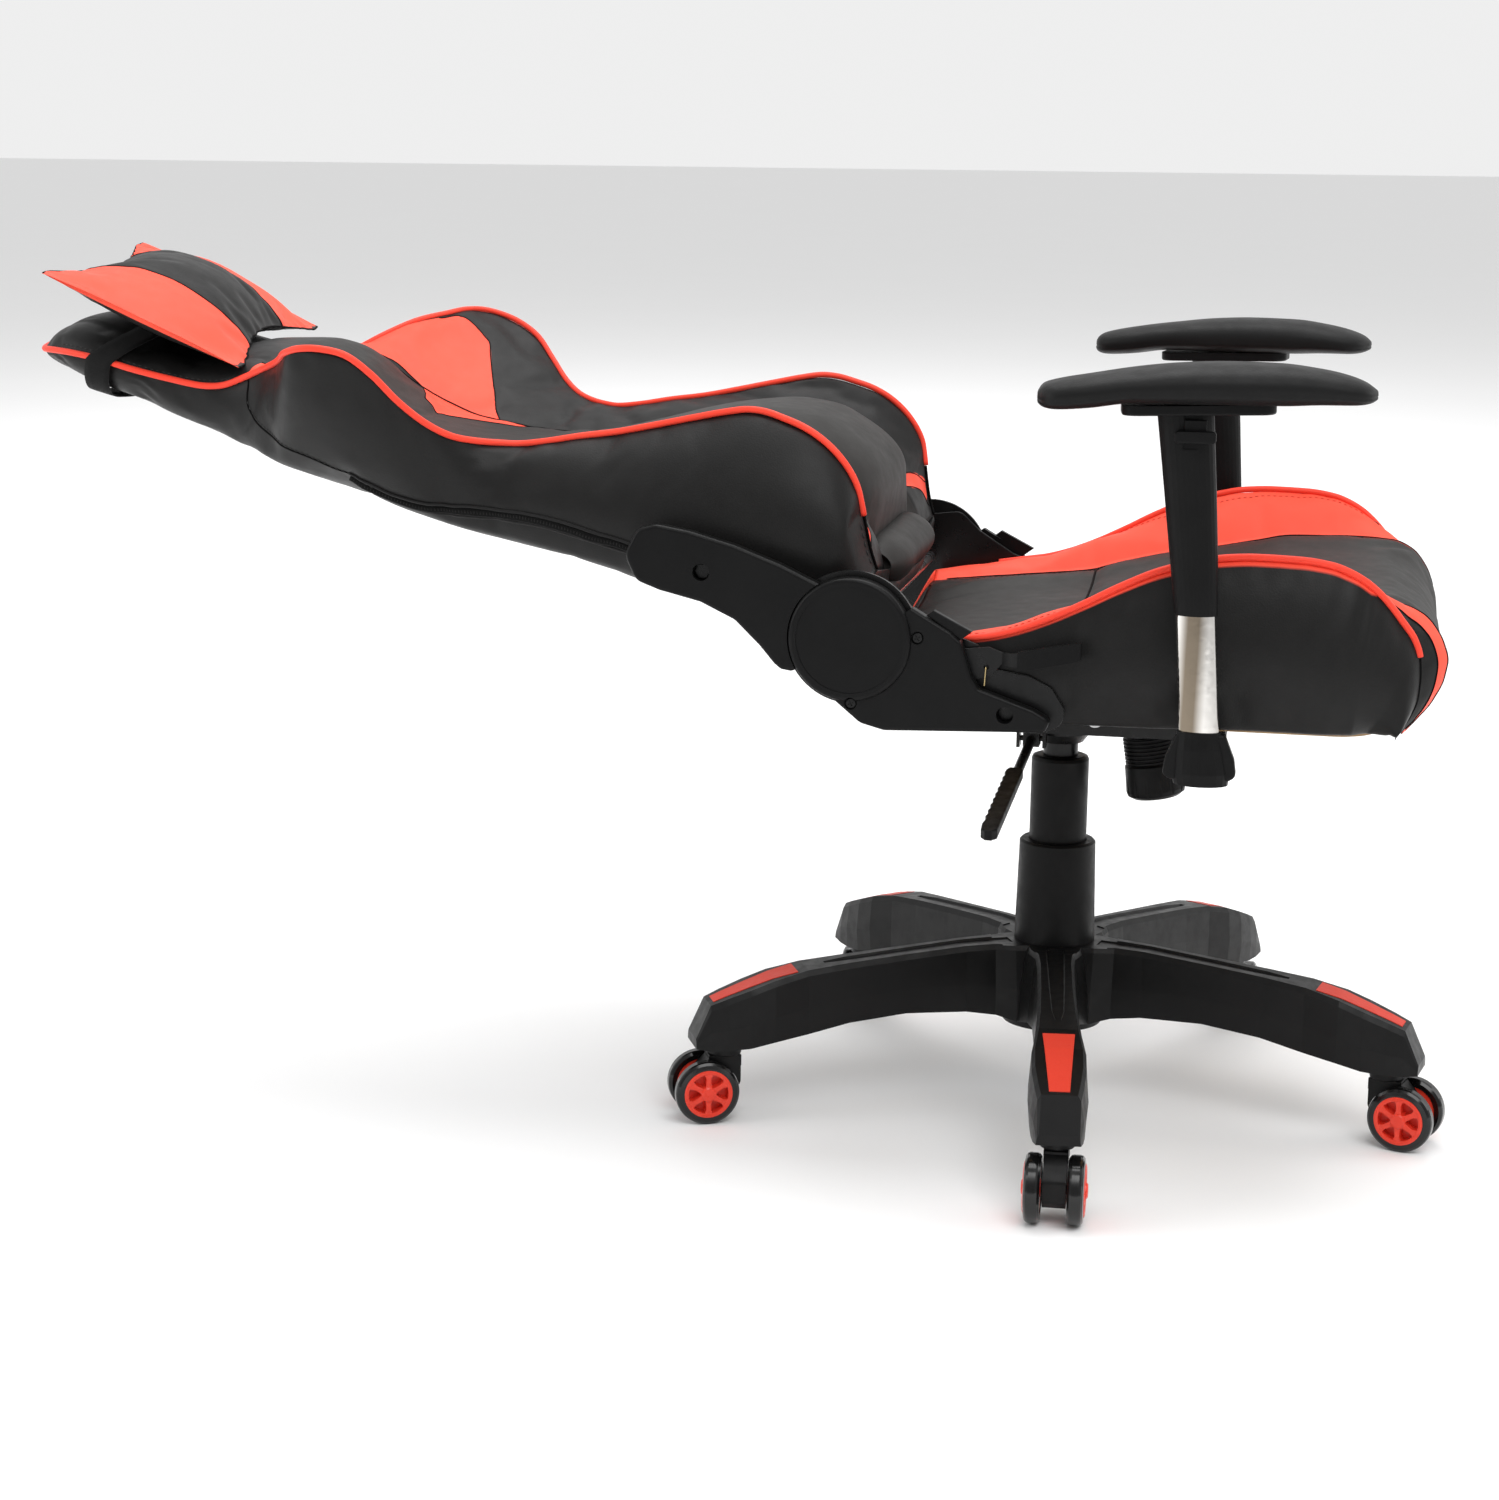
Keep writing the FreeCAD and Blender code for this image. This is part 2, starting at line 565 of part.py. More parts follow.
# bolsters: stations along X. inner (boundary) z, piping z, outer y, outer z, bottom z, piping y
px = [-150, -120, -55, -45, -22, 4, 35, 67, 101, 152, 177, 214, 239, 262, 281, 298, 310]
pz = [466, 471, 481, 483, 489, 499, 514, 531, 546, 558, 559, 558, 555, 545, 530, 510, 493]


def bol_sec(x, side, y_in=200.1):
    zb = lerp(x, sx, sz)
    zp = lerp(x, px, pz)
    k = max(0.0, min(1.0, (x - 38) / 55.0))
    kf = max(0.0, (x - 262) / 48.0)
    ym = 243.3 + (262.0 - 243.3) * k - 14.0 * kf
    yp = seat_pipe_y - 0.0 - 12.0 * kf
    zbot = lerp(x, [-150, 36, 170, 307, 317], [411, 409, 415, 424, 436])
    if x > 262:
        zb = lerp(x, [262, 281, 298, 310], [521, 512, 496, 478])
    zm = zbot + 0.45 * (zp - zbot)
    yb = 238.0 + 10.0 * k - 10.0 * kf
    s = [(x, y_in, zbot), (x, y_in, zb), (x, yp - 8, zp - 2 if zp > zb + 3 else zp), (x, yp, zp), (x, yp + (ym - yp) * 0.7, zp - 0.22 * (zp - zm)),
         (x, ym, zm), (x, yb, zbot)]
    return [(a, side * b, c) for a, b, c in s]


for nm, sd in (("right", -1), ("left", 1)):
    keep("seat_bolster_%s" % nm, loft([bol_sec(x, sd) for x in (-150, -120, -84, -50, -22, 4, 35, 67, 101, 137, 177, 214, 239, 262, 281, 298, 310)]))

# ---------------------------------------------------------------- recliner, both sides
seat_cov_pts = [(-129, 402.5, 14), (8, 407.5, 5), (13, 418, 6), (-2, 426.5, 6), (-49, 442.5, 5), (-55, 452, 5), (-65, 482, 6),
                (-74, 490, 6), (-100, 505, 4), (-124, 519, 10), (-196, 519, 4), (-205, 452, 4), (-173, 427, 8), (-150, 408, 14)]


def seat_cover(side):
    main = prism(seat_cov_pts, cover_out - cover_in, edge=3.0)
    # the disc part of the outline is round: keep only what lies in the disc or ahead of its tangent
    allow = fuse([Part.makeCylinder(disc_r, 30, V(hx, hz, -5)),
                  Part.Face(poly([(-113, 505, 0), (-60, 540, 0), (60, 540, 0), (60, 380, 0), (-160, 380, 0), (-178, 429, 0), (-150, 470, 0)])).extrude(V(0, 0, 30)).translated(V(0, 0, -5))])
    main = main.common(allow)
    disc = Part.makeCylinder(disc_r, disc_out - cover_in, V(hx, hz, 0))
    disc = fillet_some(disc, 3.6, lambda e: all(abs(v.Point.z - (disc_out - cover_in)) < 1e-6 for v in e.Vertexes) and e.Length > 200)
    s = fuse([main, disc])
    # shallow dish of the disc inside its raised rim
    dish = Part.makeCylinder(disc_r - 7.0, 5, V(hx, hz, disc_out - cover_in - 0.8))
    s = s.cut(dish)
    # pocket behind, for the plates and the lever
    pocket = Part.makeCylinder(disc_r - 4.0, disc_out - cover_in - 4.5, V(hx, hz, -1))
    s = s.cut(pocket)
    lug = prism([(-95, 503), (-89, 507.5), (-56, 490.5), (-66, 483)], 7.0, edge=1.0)
    s = fuse([s, lug])
    # bolt hole and screw seats
    s = s.cut(Part.makeCylinder(7.3, 40, V(-26, 421, -5)))
    for a, b in ((-102, 484), (-158, 425)):
        s = s.cut(Part.makeCylinder(5.6, 10, V(a, b, 8.5)))
        s = s.cut(Part.makeCylinder(2.1, 40, V(a, b, -5)))
    return to_y(s, cover_in, side)


def seat_plate(side):
    pts = [(-132, 407, 12), (4, 403, 8), (20, 411, 10), (24, 424, 12), (12, 443, 12), (-8, 453, 10), (-40, 458, 6), (-52, 478, 6), (-75, 486, 5), (-110, 508, 6),
           (-130, 527, 12), (-190, 520, 30), (-206, 452, 12), (-172, 428, 8), (-150, 411, 12)]
    s = prism(pts, plate_t, edge=0.8, both=True)
    s = s.cut(Part.makeCylinder(8.0 + run, 40, V(hx, hz, -5)))
    s = s.cut(Part.makeCylinder(3.0 + run, 40, V(-80, 466, -5)))
    s = s.cut(Part.makeCylinder(5.2, 40, V(-26, 421, -5)))
    bolt = fuse([Part.makeCylinder(5.0, 6.9, V(-26, 421, -0.9)), prism([(-26 + 6.4 * math.cos(math.radians(60 * i)), 421 + 6.4 * math.sin(math.radians(60 * i))) for i in range(6)], 4.4).translated(V(0, 0, plate_t))])
    return [to_y(s, plate_in, side), to_y(bolt, plate_in, side)]


def back_plate(side):
    loc = [(42, 34), (75, 36), (117, 40), (158, 40), (188, 36), (198, 24), (198, 6), (188, 0), (133, -4), (100, -9), (73, -23), (44, -32), (38, -30)]
    pts = []
    for u, v in loc:
        x, _, zz = B(u, 0, v)
        pts.append((x, zz, 6))
    s = prism(pts, plate_t)
    s = fuse([s, Part.makeCylinder(57.6, plate_t, V(hx, hz, 0))])
    bx, _, bz = B(139, 0, 17)
    bolt = [Part.makeCylinder(5.0, 6, V(bx, bz, -4.5)), prism([(bx + 6.4 * math.cos(math.radians(60 * i)), bz + 6.4 * math.sin(math.radians(60 * i))) for i in range(6)], 4.4).translated(V(0, 0, plate_t))]
    s = fuse([s] + bolt)
    s = s.cut(Part.makeCylinder(rod_r - 0.02, 40, V(hx, hz, -20)))
    hubc = Part.makeCylinder(8.0, plate_t + 1.0, V(hx, hz, -(plate_t + 0.95))).cut(Part.makeCylinder(rod_r - 0.02, 40, V(hx, hz, -20)))
    s = fuse([s, hubc])
    return to_y(s, bplate_in, side)


def back_cover(side):
    loc = [(208, 12, 16), (203, 36, 12), (188, 45, 12), (158, 48, 10), (117, 48, 10), (75, 44, 8), (52, 40, 3), (30, 36, 2), (30, -34, 2), (41, -42, 4),
           (50, -43, 6), (57, -40, 8), (73, -29, 10), (100, -14, 14), (133, -8, 12), (170, -9, 12), (192, -7, 14)]
    pts = []
    for u, v, r in loc:
        x, _, zz = B(u, 0, v)
        pts.append((x, zz, r))
    s = prism(pts, cover_out - cover_in, edge=3.4)
    s = s.cut(Part.makeCylinder(disc_r + 1.2, 40, V(hx, hz, -5)))
    # pocket behind
    bx, _, bz = B(139, 0, 17)
    pk = Part.makeCylinder(14.0, 5.0, V(bx, bz, -0.1))
    s = s.cut(pk)
    s = s.cut(Part.makeCylinder(7.4, 40, V(bx, bz, -5)))
    # the shell lies on the steel plate's face
    return to_y(s, cover_in, side)


covs, scr, pls, bpls, bcov = [], [], [], [], []
for sd in (-1, 1):
    covs.append(seat_cover(sd))
    pls += seat_plate(sd)
    bpls.append(back_plate(sd))
    bcov.append(back_cover(sd))
    for a, b in ((-102, 484), (-158, 425)):
        h = Part.makeCylinder(4.6, 2.2, V(a, b, 8.6))
        h = fillet_some(h, 1.2, lambda e: all(abs(v.Point.z - 10.8) < 1e-6 for v in e.Vertexes) and e.Length > 20)
        cross = fuse([Part.makeBox(5.2, 1.1, 2, V(a - 2.6, b - 0.55, 9.6)), Part.makeBox(1.1, 5.2, 2, V(a - 0.55, b - 2.6, 9.6))])
        cross.rotate(V(a, b, 0), V(0, 0, 1), 28)
        shank = Part.makeCylinder(2.05, 8.8, V(a, b, 0.1))
        scr.append(to_y(fuse([h, shank]).cut(cross), cover_in, sd))
keep("recliner_seat_covers", covs)
keep("recliner_seat_plates", pls)
keep("recliner_back_plates", bpls)
keep("recliner_back_covers", bcov)
keep("cover_screws", scr)
keep("recliner_cross_rod", cyl(rod_r - 0.03, (hx, -252.5, hz), (0, 1, 0), 505))

# recline handle on the sitter's right: folded steel bracket with a plastic grip
br_t = 2.5
brk = prism([(-86, 456, 4), (-62, 446, 3), (-40, 452, 3), (-31, 463, 3), (-28, 472, 3), (-42, 477, 2), (-60, 475, 3), (-88, 474, 4)], br_t, edge=0.4, both=True)
brk = brk.cut(Part.makeCylinder(2.3, 20, V(-44, 459.5, -5)))
brk = to_y(brk, 250.6, -1)
# joggle outwards, then the arm of the bracket
jog = loft([
    [(-31, -250.8, 462.5), (-31, -252.9, 462.5), (-31, -252.9, 473), (-31, -250.8, 473)],
    [(-22, -256.6, 461.5), (-22, -259.0, 461.5), (-22, -259.0, 473.2), (-22, -256.6, 473.2)],
    [(-12, -256.8, 461.8), (-12, -259.2, 461.8), (-12, -259.2, 474.4), (-12, -256.8, 474.4)],
    [(20, -256.8, 468), (20, -259.2, 468), (20, -259.2, 480), (20, -256.8, 480)],
])
pin = cyl(3.0, (-80, -253.6, 466), (0, 1, 0), 253.6 - plate_in - 0.3)
lev = fuse([brk, jog, pin])
hand = loft([
    [(-17, -254.6, 458.6), (-17, -261.4, 458.6), (-17, -261.4, 474.8), (-17, -254.6, 474.8)],
    [(-10, -254.0, 459.6), (-10, -262.0, 459.6), (-10, -262.0, 476.2), (-10, -254.0, 476.2)],
    [(30, -254.0, 468.4), (30, -262.0, 468.4), (30, -262.0, 484.4), (30, -254.0, 484.4)],
    [(36, -254.6, 470.4), (36, -261.4, 470.4), (36, -261.4, 484.6), (36, -254.6, 484.6)],
])
hand = hand.cut(jog)
keep("recliner_lever", [lev, hand])
# return spring: a thin wire hook between bracket and plate
w1 = cyl(0.7, (-44, -257.0, 459.5), (0, 1, 0), 3.5)
dx, dz = -1.0, -15.0
wl = math.hypot(dx, dz)
w2 = cyl(0.7, (-44, -257.0, 459.5), (dx / wl, 0, dz / wl), wl)
w3 = cyl(0.7, (-45, -257.0, 444.5), (0, 1, 0), 7.8)
keep("recliner_lever_spring", fuse([w2, Part.makeSphere(0.9, V(-44, -257.0, 459.5)), Part.makeSphere(0.9, V(-45, -257.0, 444.5)), w1, w3]))

# ---------------------------------------------------------------- backrest
prof_front = [(812, 22), (800, 36), (782, 43), (750, 41), (700, 37), (664, 38), (651, 46), (620, 57), (587, 62), (560, 54), (524, 34), (475, 22), (420, 24),
              (383, 30), (340, 42), (300, 60), (260, 82), (220, 105), (172, 130), (140, 142), (107, 146), (80, 140), (52, 128), (36, 114), (30, 100), (30, 84), (36, 66),
              (26, 66), (7, 60), (-7, 48), (-12, 36), (-6, 24), (6, 14), (9, 8)]
prof_rear = [(9, -18), (60, -22), (203, -21), (298, -19), (373, -23), (450, -23), (528, -22), (588, -27), (630, -21), (670, -18), (712, -13), (752, -13), (795, -3), (812, 6)]
torso = [p for p in prof_front if p[0] <= 600] + [p for p in prof_rear if p[0] <= 600]


def bk_prism(pts, y0, y1):
    f = Part.Face(poly([B(u, y0, v) for u, v in pts]))
    return f.extrude(V(0, y1 - y0, 0))


tors = [(600, 60)] + [p for p in prof_front if p[0] < 600] + [p for p in prof_rear if p[0] < 600] + [(600, -26)]
core = bk_prism(tors, -120.0, 120.0)
# head section: stations up the back, edge (piping) half width and height, front and rear middle height
head_st = [(600, 120, 50, 60, -26), (625, 149, 28, 56, -22), (647, 151, 21, 47, -20), (678, 150, 18, 37, -18), (716, 150, 16, 38, -13), (754, 145, 15, 41, -13),
           (786, 130, 14, 42, -6), (804, 115, 13, 33, 0), (815, 100, 12, 22, 6)]
secs = []
for u, yp, vp, vf, vr in head_st:
    secs.append([B(u, -yp, vp), B(u, -yp * 0.8, vf - (vf - vp) * 0.25), B(u, -yp * 0.45, vf), B(u, yp * 0.45, vf), B(u, yp * 0.8, vf - (vf - vp) * 0.25),
                 B(u, yp, vp), B(u, yp * 0.86, vr + 3), B(u, yp * 0.6, vr), B(u, -yp * 0.6, vr), B(u, -yp * 0.86, vr + 3)])
headc = loft(secs)
keep("back_cushion", fuse([core, headc]))

# side wings: u, boundary v, piping y, piping v, outer y, outer v, rear y, rear v
wing_st = [
    (3, 40, 186, 50, 214, 30, 196, -12),
    (14, 60, 190, 68, 224, 40, 199, -17),
    (27, 74, 196, 96, 230, 52, 201, -19),
    (37, 82, 201, 116, 233, 60, 202, -20),
    (62, 96, 201, 139, 236, 68, 204, -21),
    (97, 104, 197, 152, 238, 70, 206, -21),
    (134, 104, 189, 154, 236, 70, 206, -20),
    (188, 94, 182, 133, 230, 62, 206, -19),
    (225, 84, 182, 114, 226, 54, 206, -17),
    (288, 60, 183, 85, 221, 38, 204, -18),
    (340, 42, 185, 62, 216, 26, 200, -20),
    (372, 33, 204, 57, 220, 24, 200, -22),
    (411, 26, 237, 64, 232, 30, 200, -22),
    (435, 24, 257, 78, 244, 38, 200, -22),
    (460, 22, 273, 94, 254, 46, 200, -21),
    (506, 28, 284, 103, 258, 54, 199, -19),
    (535, 36, 280, 101, 254, 56, 198, -17),
    (552, 42, 246, 92, 232, 50, 192, -16),
    (571, 48, 205, 82, 200, 44, 182, -16),
    (591, 50, 174, 63, 172, 36, 160, -18),
    (600, 50, 164, 55, 162, 30, 150, -20),
]
for nm, sd in (("right", -1), ("left", 1)):
    secs = []
    for u, vb, yp, vp, ym, vm, yr, vr in wing_st:
        yi = 120.3
        ok = vp
        secs.append([B(u, sd * yi, -21), B(u, sd * yi, vb), B(u, sd * (yi + 0.5 * (yp - yi)), vb + 0.42 * (ok - vb)), B(u, sd * yp, ok), B(u, sd * ym, vm), B(u, sd * yr, vr)])
    keep("back_wing_%s" % nm, loft(secs).cut(cyl(rod_r + 1.2, (hx, -260, hz), (0, 1, 0), 520)))

# steel tube frame inside the padding
fr = []
tube_r = 9.0
loop = [(12, 168, 6), (120, 176, 8), (300, 172, 6), (470, 168, 4), (560, 130, 6), (640, 112, 6), (740, 104, 10), (770, 80, 12), (770, 0, 12)]
full = loop + [(u, -y, v) for u, y, v in reversed(loop[:-1])]
pts3 = [V(*B(u, y, v)) for u, y, v in full]
for a, b in zip(pts3[:-1], pts3[1:]):
    d = b - a
    fr.append(Part.makeCylinder(tube_r, d.Length, a, d))
    fr.append(Part.makeSphere(tube_r, b))
for u, yy in ((22, 168), (330, 171)):
    a = V(*B(u, -yy, 6))
    fr.append(Part.makeCylinder(tube_r - 1, 2 * yy, a, V(0, 1, 0)))
for sd in (-1, 1):
    a = V(*B(100, sd * 174, 8))
    fr.append(Part.makeCylinder(tube_r - 1, bplate_in - 174.02, a, V(0, sd, 0)))
frame_s = fr[0]
frame_s = frame_s.fuse(fr[1:])
keep("back_frame", frame_s)

# ---------------------------------------------------------------- head pillow
pc_u, pc_v, yaw = 735.0, 70.0, 8.0
cy_, sy_ = math.cos(math.radians(yaw)), math.sin(math.radians(yaw))


def Pl(s, y, w):
    """Pillow frame: s along the back, y across, w out; the pillow lies slightly askew."""
    return B(pc_u + s * cy_ + y * sy_, y * cy_ - s * sy_, w)


# across stations: y, half length, mid height, half thickness, lean (how much the upper edge stands higher)
pil = [(-178, 96, 66, 3, 17), (-160, 97, 66, 12, 16), (-130, 92, 70, 24, 12), (-90, 84, 74, 33, 8), (-45, 77, 77, 37, 5), (0, 75, 78, 38, 4),
       (45, 77, 77, 37, 5), (90, 84, 74, 33, 8), (130, 92, 70, 24, 12), (160, 97, 66, 12, 16), (178, 96, 66, 3, 17)]
secs = []
for y, hl, mv, ht, ln in pil:
    secs.append([Pl(-hl, y, mv - ln - 1), Pl(-hl, y, mv - ln + 1), Pl(-hl * 0.62, y, mv - ln * 0.6 + ht * 0.8), Pl(0, y, mv + ht), Pl(hl * 0.62, y, mv + ln * 0.6 + ht * 0.75),
                 Pl(hl, y, mv + ln + 1), Pl(hl, y, mv + ln - 1), Pl(hl * 0.62, y, max(47.5, mv + ln * 0.5 - ht * 0.8)), Pl(0, y, max(46.5, mv - ht)), Pl(-hl * 0.55, y, max(52.5, mv - ln * 0.5 - ht * 0.75))])
keep("head_pillow", loft(secs))

# elastic strap round the head of the backrest
def band(extra, u0, u1):
    s = []
    for u in (u0, u1):
        s.append([B(u, -151.5 - extra, 17), B(u, -122 - extra * 0.7, 39 + extra), B(u, -68, 44.0 + extra), B(u, 68, 44.0 + extra), B(u, 122 + extra * 0.7, 39 + extra),
                  B(u, 151.5 + extra, 17), B(u, 132 + extra * 0.7, -14 - extra), B(u, 92, -20 - extra), B(u, -92, -20 - extra), B(u, -132 - extra * 0.7, -14 - extra)])
    return loft(s)


keep("head_pillow_strap", band(1.4, 714, 739).cut(band(0.0, 700, 750)))

# ---------------------------------------------------------------- armrests
lean = math.radians(arm_lean)
ax_d = V(-math.sin(lean), 0, math.cos(lean))


def axis_x(z):
    return arm_foot_x - (z - arm_foot_z) * math.tan(lean)


def oval(cx, cyy, z, a, b, n=20):
    return [(cx + a * math.cos(2 * math.pi * i / n), cyy + b * math.sin(2 * math.pi * i / n), z) for i in range(n)]


def oval_solid(z0, z1, a, b, side):
    w = Part.Wire(Part.Ellipse(V(0, 0, 0), a, b).toShape())
    s = Part.Face(w).extrude(V(0, 0, (z1 - z0) / math.cos(lean)))
    s.rotate(V(0, 0, 0), V(0, 1, 0), -arm_lean)
    s.translate(V(axis_x(z0), side * arm_y, z0))
    return s


posts, shoes = [], []
for nm, sd in (("right", -1), ("left", 1)):
    post = oval_solid(390.0, post_top_z, 16.5, 9.0, sd)
    # shoe at the foot of the post, with a rounded ear fore and aft
    z0, z1 = 377.0, 420.0
    sh = []
    for z, a, b in ((376.0, 22.5, 15.0), (386.0, 24.0, 15.5), (406.0, 21.5, 13.5), (420.5, 18.6, 11.0)):
        sh.append(oval(axis_x(z), sd * arm_y, z, a, b))
    body_s = loft(sh)
    ear = prism([(-30.5, 384, 6), (-28.5, 398, 6), (-20, 419, 3), (20, 419, 3), (28.5, 398, 6), (30.5, 384, 6), (24, 380, 3), (-24, 380, 3)], 13.0, edge=2.5, both=True)
    ear = to_y(ear, arm_y - 6.5, sd)
    ear.translate(V(axis_x(398), 0, 0))
    s = fuse([body_s, ear])
    s = s.cut(oval_solid(389.0, 440, 16.53, 9.03, sd))
    # slot in the shoe for the bracket's upright
    s = s.cut(ybox(axis_x(385) - 16.2, axis_x(385) + 16.2, min(sd * (arm_y - 20), sd * (arm_y + 3.2)), max(sd * (arm_y - 20), sd * (arm_y + 3.2)), 384.0, 390.6))
    shoes.append(s)
    # bracket: flat steel bar from under the seat
    bar = ybox(axis_x(385) - 16, axis_x(385) + 16, min(sd * 118, sd * (arm_y + 3)), max(sd * 118, sd * (arm_y + 3)), 384.4, 390.4)
    rise = ybox(axis_x(385) - 16, axis_x(385) + 16, min(sd * 118, sd * 124), max(sd * 118, sd * 124), 384.4, pan_z[0] - 0.02)
    foot = ybox(axis_x(385) - 16, axis_x(385) + 16, min(sd * 118, sd * 180), max(sd * 118, sd * 180), 397.0, pan_z[0] - 0.02)
    posts.append(fuse([bar, rise, foot, post]))

    # sleeve: hollow, wider at the top
    so = []
    for z, x0, x1, b in ((518.0, 113.6, 149.4, 12.6), (560.0, 108.5, 147.6, 13.4), (620.0, 101.0, 143.8, 14.6), (683.0, 93.0, 139.2, 16.0)):
        so.append(oval((x0 + x1) / 2, sd * arm_y, z, (x1 - x0) / 2, b, 28))
    sl = loft(so)
    cav = oval_solid(510.0, 674.0, 16.5 + 0.06, 9.0 + 0.06, sd)
    sl = sl.cut(cav)
    # slot for the trigger's stem
    sl = sl.cut(ybox(115.6, 135.0, min(sd * 302.0, sd * 306), max(sd * 302.0, sd * 306), 655, 690))
    # plate under the pad
    pcx, pcz = 126.0, 686.8
    pl = prism([(-62, -24, 14), (-62, 24, 14), (62, 24, 14), (62, -24, 14)], 8.0, edge=2.0)
    pl = pl.mirror(V(0, 0, 4.0), V(0, 0, 1))
    pl.rotate(V(0, 0, 0), V(0, 0, 1), sd * -pad_toe if sd > 0 else pad_toe)
    pl.rotate(V(0, 0, 0), V(0, 1, 0), -1.5)
    pl.translate(V(pcx, sd * (arm_y + 1.5), pcz - 3.6))
    keep("armrest_plate_%s" % nm, pl)
    keep("armrest_sleeve_%s" % nm, sl.cut(pl))
    # pad: arched, rounded, soft
    pst = [(-136, 8, 690.5, 699.0), (-132, 24, 687.0, 704.5), (-122, 33, 685.3, 708.0), (-96, 38, 687.0, 713.0), (-60, 41, 691.6, 718.5), (-20, 43, 691.6, 723.0), (20, 43.5, 691.6, 725.0),
           (60, 43, 691.8, 724.5), (92, 41, 693.2, 720.5), (118, 37, 693.4, 714.5), (130, 28, 695.2, 709.5), (136, 12, 698.0, 705.0)]
    sec = []
    for x, hw, zb, zt in pst:
        c = 0.30 * (zt - zb)
        h2 = hw - 0.28 * min(hw, 26)
        sec.append([(x, -h2, zb), (x, -hw, zb + c), (x, -hw, zt - c), (x, -h2, zt), (x, h2, zt), (x, hw, zt - c), (x, hw, zb + c), (x, h2, zb)])
    pd = loft(sec)
    pd.rotate(V(0, 0, 0), V(0, 0, 1), -pad_toe if sd > 0 else pad_toe)
    pd.translate(V(132.0, sd * (arm_y + 4.0), 0))
    pd = pd.cut(pl)
    keep("armrest_pad_%s" % nm, pd)
    # trigger: stem in the sleeve's slot and a finger bar below
    st = prism([(116.4, 661), (134.2, 661), (134.2, 679.0), (116.4, 679.0)], 3.6, edge=0.6)
    fb = prism([(108.8, 660.6, 3), (108.8, 670.6, 3), (142.2, 670.6, 3), (142.2, 660.6, 3)], 7.0, edge=1.6, both=True)
    tr = fuse([to_y(st, 302.6, sd), to_y(fb, 304.9, sd)])
    keep("armrest_trigger_%s" % nm, tr)

keep("armrest_posts", posts)
keep("armrest_shoes", shoes)

# ---------------------------------------------------------------- write
bad = []
for name in sorted(nodes):
    s = nodes[name]
    ok = s.isValid() and len(s.Solids) > 0 and s.Volume > 0
    bb = s.BoundBox
    print("%-26s solids %2d vol %9.1f cm3 ok %s  x %.0f..%.0f y %.0f..%.0f z %.0f..%.0f" % (
        name, len(s.Solids), s.Volume / 1000.0, ok, bb.XMin, bb.XMax, bb.YMin, bb.YMax, bb.ZMin, bb.ZMax))
    if not ok:
        bad.append(name)
    s.exportStep("parts/%s.step" % name)
print(len(nodes), "nodes; bad:", bad)
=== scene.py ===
import bpy
import math
import numpy as np
from mathutils import Matrix, Vector
from mathutils.bvhtree import BVHTree


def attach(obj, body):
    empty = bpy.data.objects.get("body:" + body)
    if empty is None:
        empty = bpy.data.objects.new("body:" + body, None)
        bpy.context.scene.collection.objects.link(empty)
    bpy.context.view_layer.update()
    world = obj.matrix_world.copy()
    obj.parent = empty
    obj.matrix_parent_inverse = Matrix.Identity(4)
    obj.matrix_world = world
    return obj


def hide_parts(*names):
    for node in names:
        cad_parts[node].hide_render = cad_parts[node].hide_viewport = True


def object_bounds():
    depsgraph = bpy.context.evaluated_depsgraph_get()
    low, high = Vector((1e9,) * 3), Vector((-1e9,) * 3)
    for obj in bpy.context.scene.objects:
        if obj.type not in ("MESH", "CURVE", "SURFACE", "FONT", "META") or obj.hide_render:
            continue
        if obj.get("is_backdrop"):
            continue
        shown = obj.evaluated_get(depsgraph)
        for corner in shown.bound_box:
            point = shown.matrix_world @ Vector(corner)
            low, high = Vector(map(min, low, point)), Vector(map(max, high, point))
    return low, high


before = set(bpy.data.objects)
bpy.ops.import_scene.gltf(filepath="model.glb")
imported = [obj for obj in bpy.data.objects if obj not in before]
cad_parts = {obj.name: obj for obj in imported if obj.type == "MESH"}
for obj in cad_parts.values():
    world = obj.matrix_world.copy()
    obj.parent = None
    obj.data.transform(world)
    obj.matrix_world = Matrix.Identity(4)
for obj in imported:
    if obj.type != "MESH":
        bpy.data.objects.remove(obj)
CAD_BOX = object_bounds()
MM = 0.001
rng = np.random.default_rng(7)

# ------------------------------------------------------------------ small maths


def pchip(xs, ys, x):
    """Monotone cubic through (xs, ys); ys may have several columns."""
    xs = np.asarray(xs, float)
    ys = np.asarray(ys, float)
    flat = ys.ndim == 1
    if flat:
        ys = ys[:, None]
    h = np.diff(xs)[:, None]
    d = np.diff(ys, axis=0) / h
    m = np.zeros_like(ys)
    m[0], m[-1] = d[0], d[-1]
    if len(xs) > 2:
        w1 = 2 * h[1:] + h[:-1]
        w2 = h[1:] + 2 * h[:-1]
        same = d[:-1] * d[1:] > 0
        with np.errstate(divide="ignore", invalid="ignore"):
            mm = (w1 + w2) / (w1 / d[:-1] + w2 / d[1:])
        m[1:-1] = np.where(same, mm, 0.0)
    x = np.clip(np.asarray(x, float), xs[0], xs[-1])
    i = np.clip(np.searchsorted(xs, x, side="right") - 1, 0, len(xs) - 2)
    t = ((x - xs[i]) / (xs[i + 1] - xs[i]))[..., None]
    hh = (xs[i + 1] - xs[i])[..., None]
    r = ((2 * t ** 3 - 3 * t ** 2 + 1) * ys[i] + (t ** 3 - 2 * t ** 2 + t) * hh * m[i]
         + (-2 * t ** 3 + 3 * t ** 2) * ys[i + 1] + (t ** 3 - t ** 2) * hh * m[i + 1])
    return r[..., 0] if flat else r


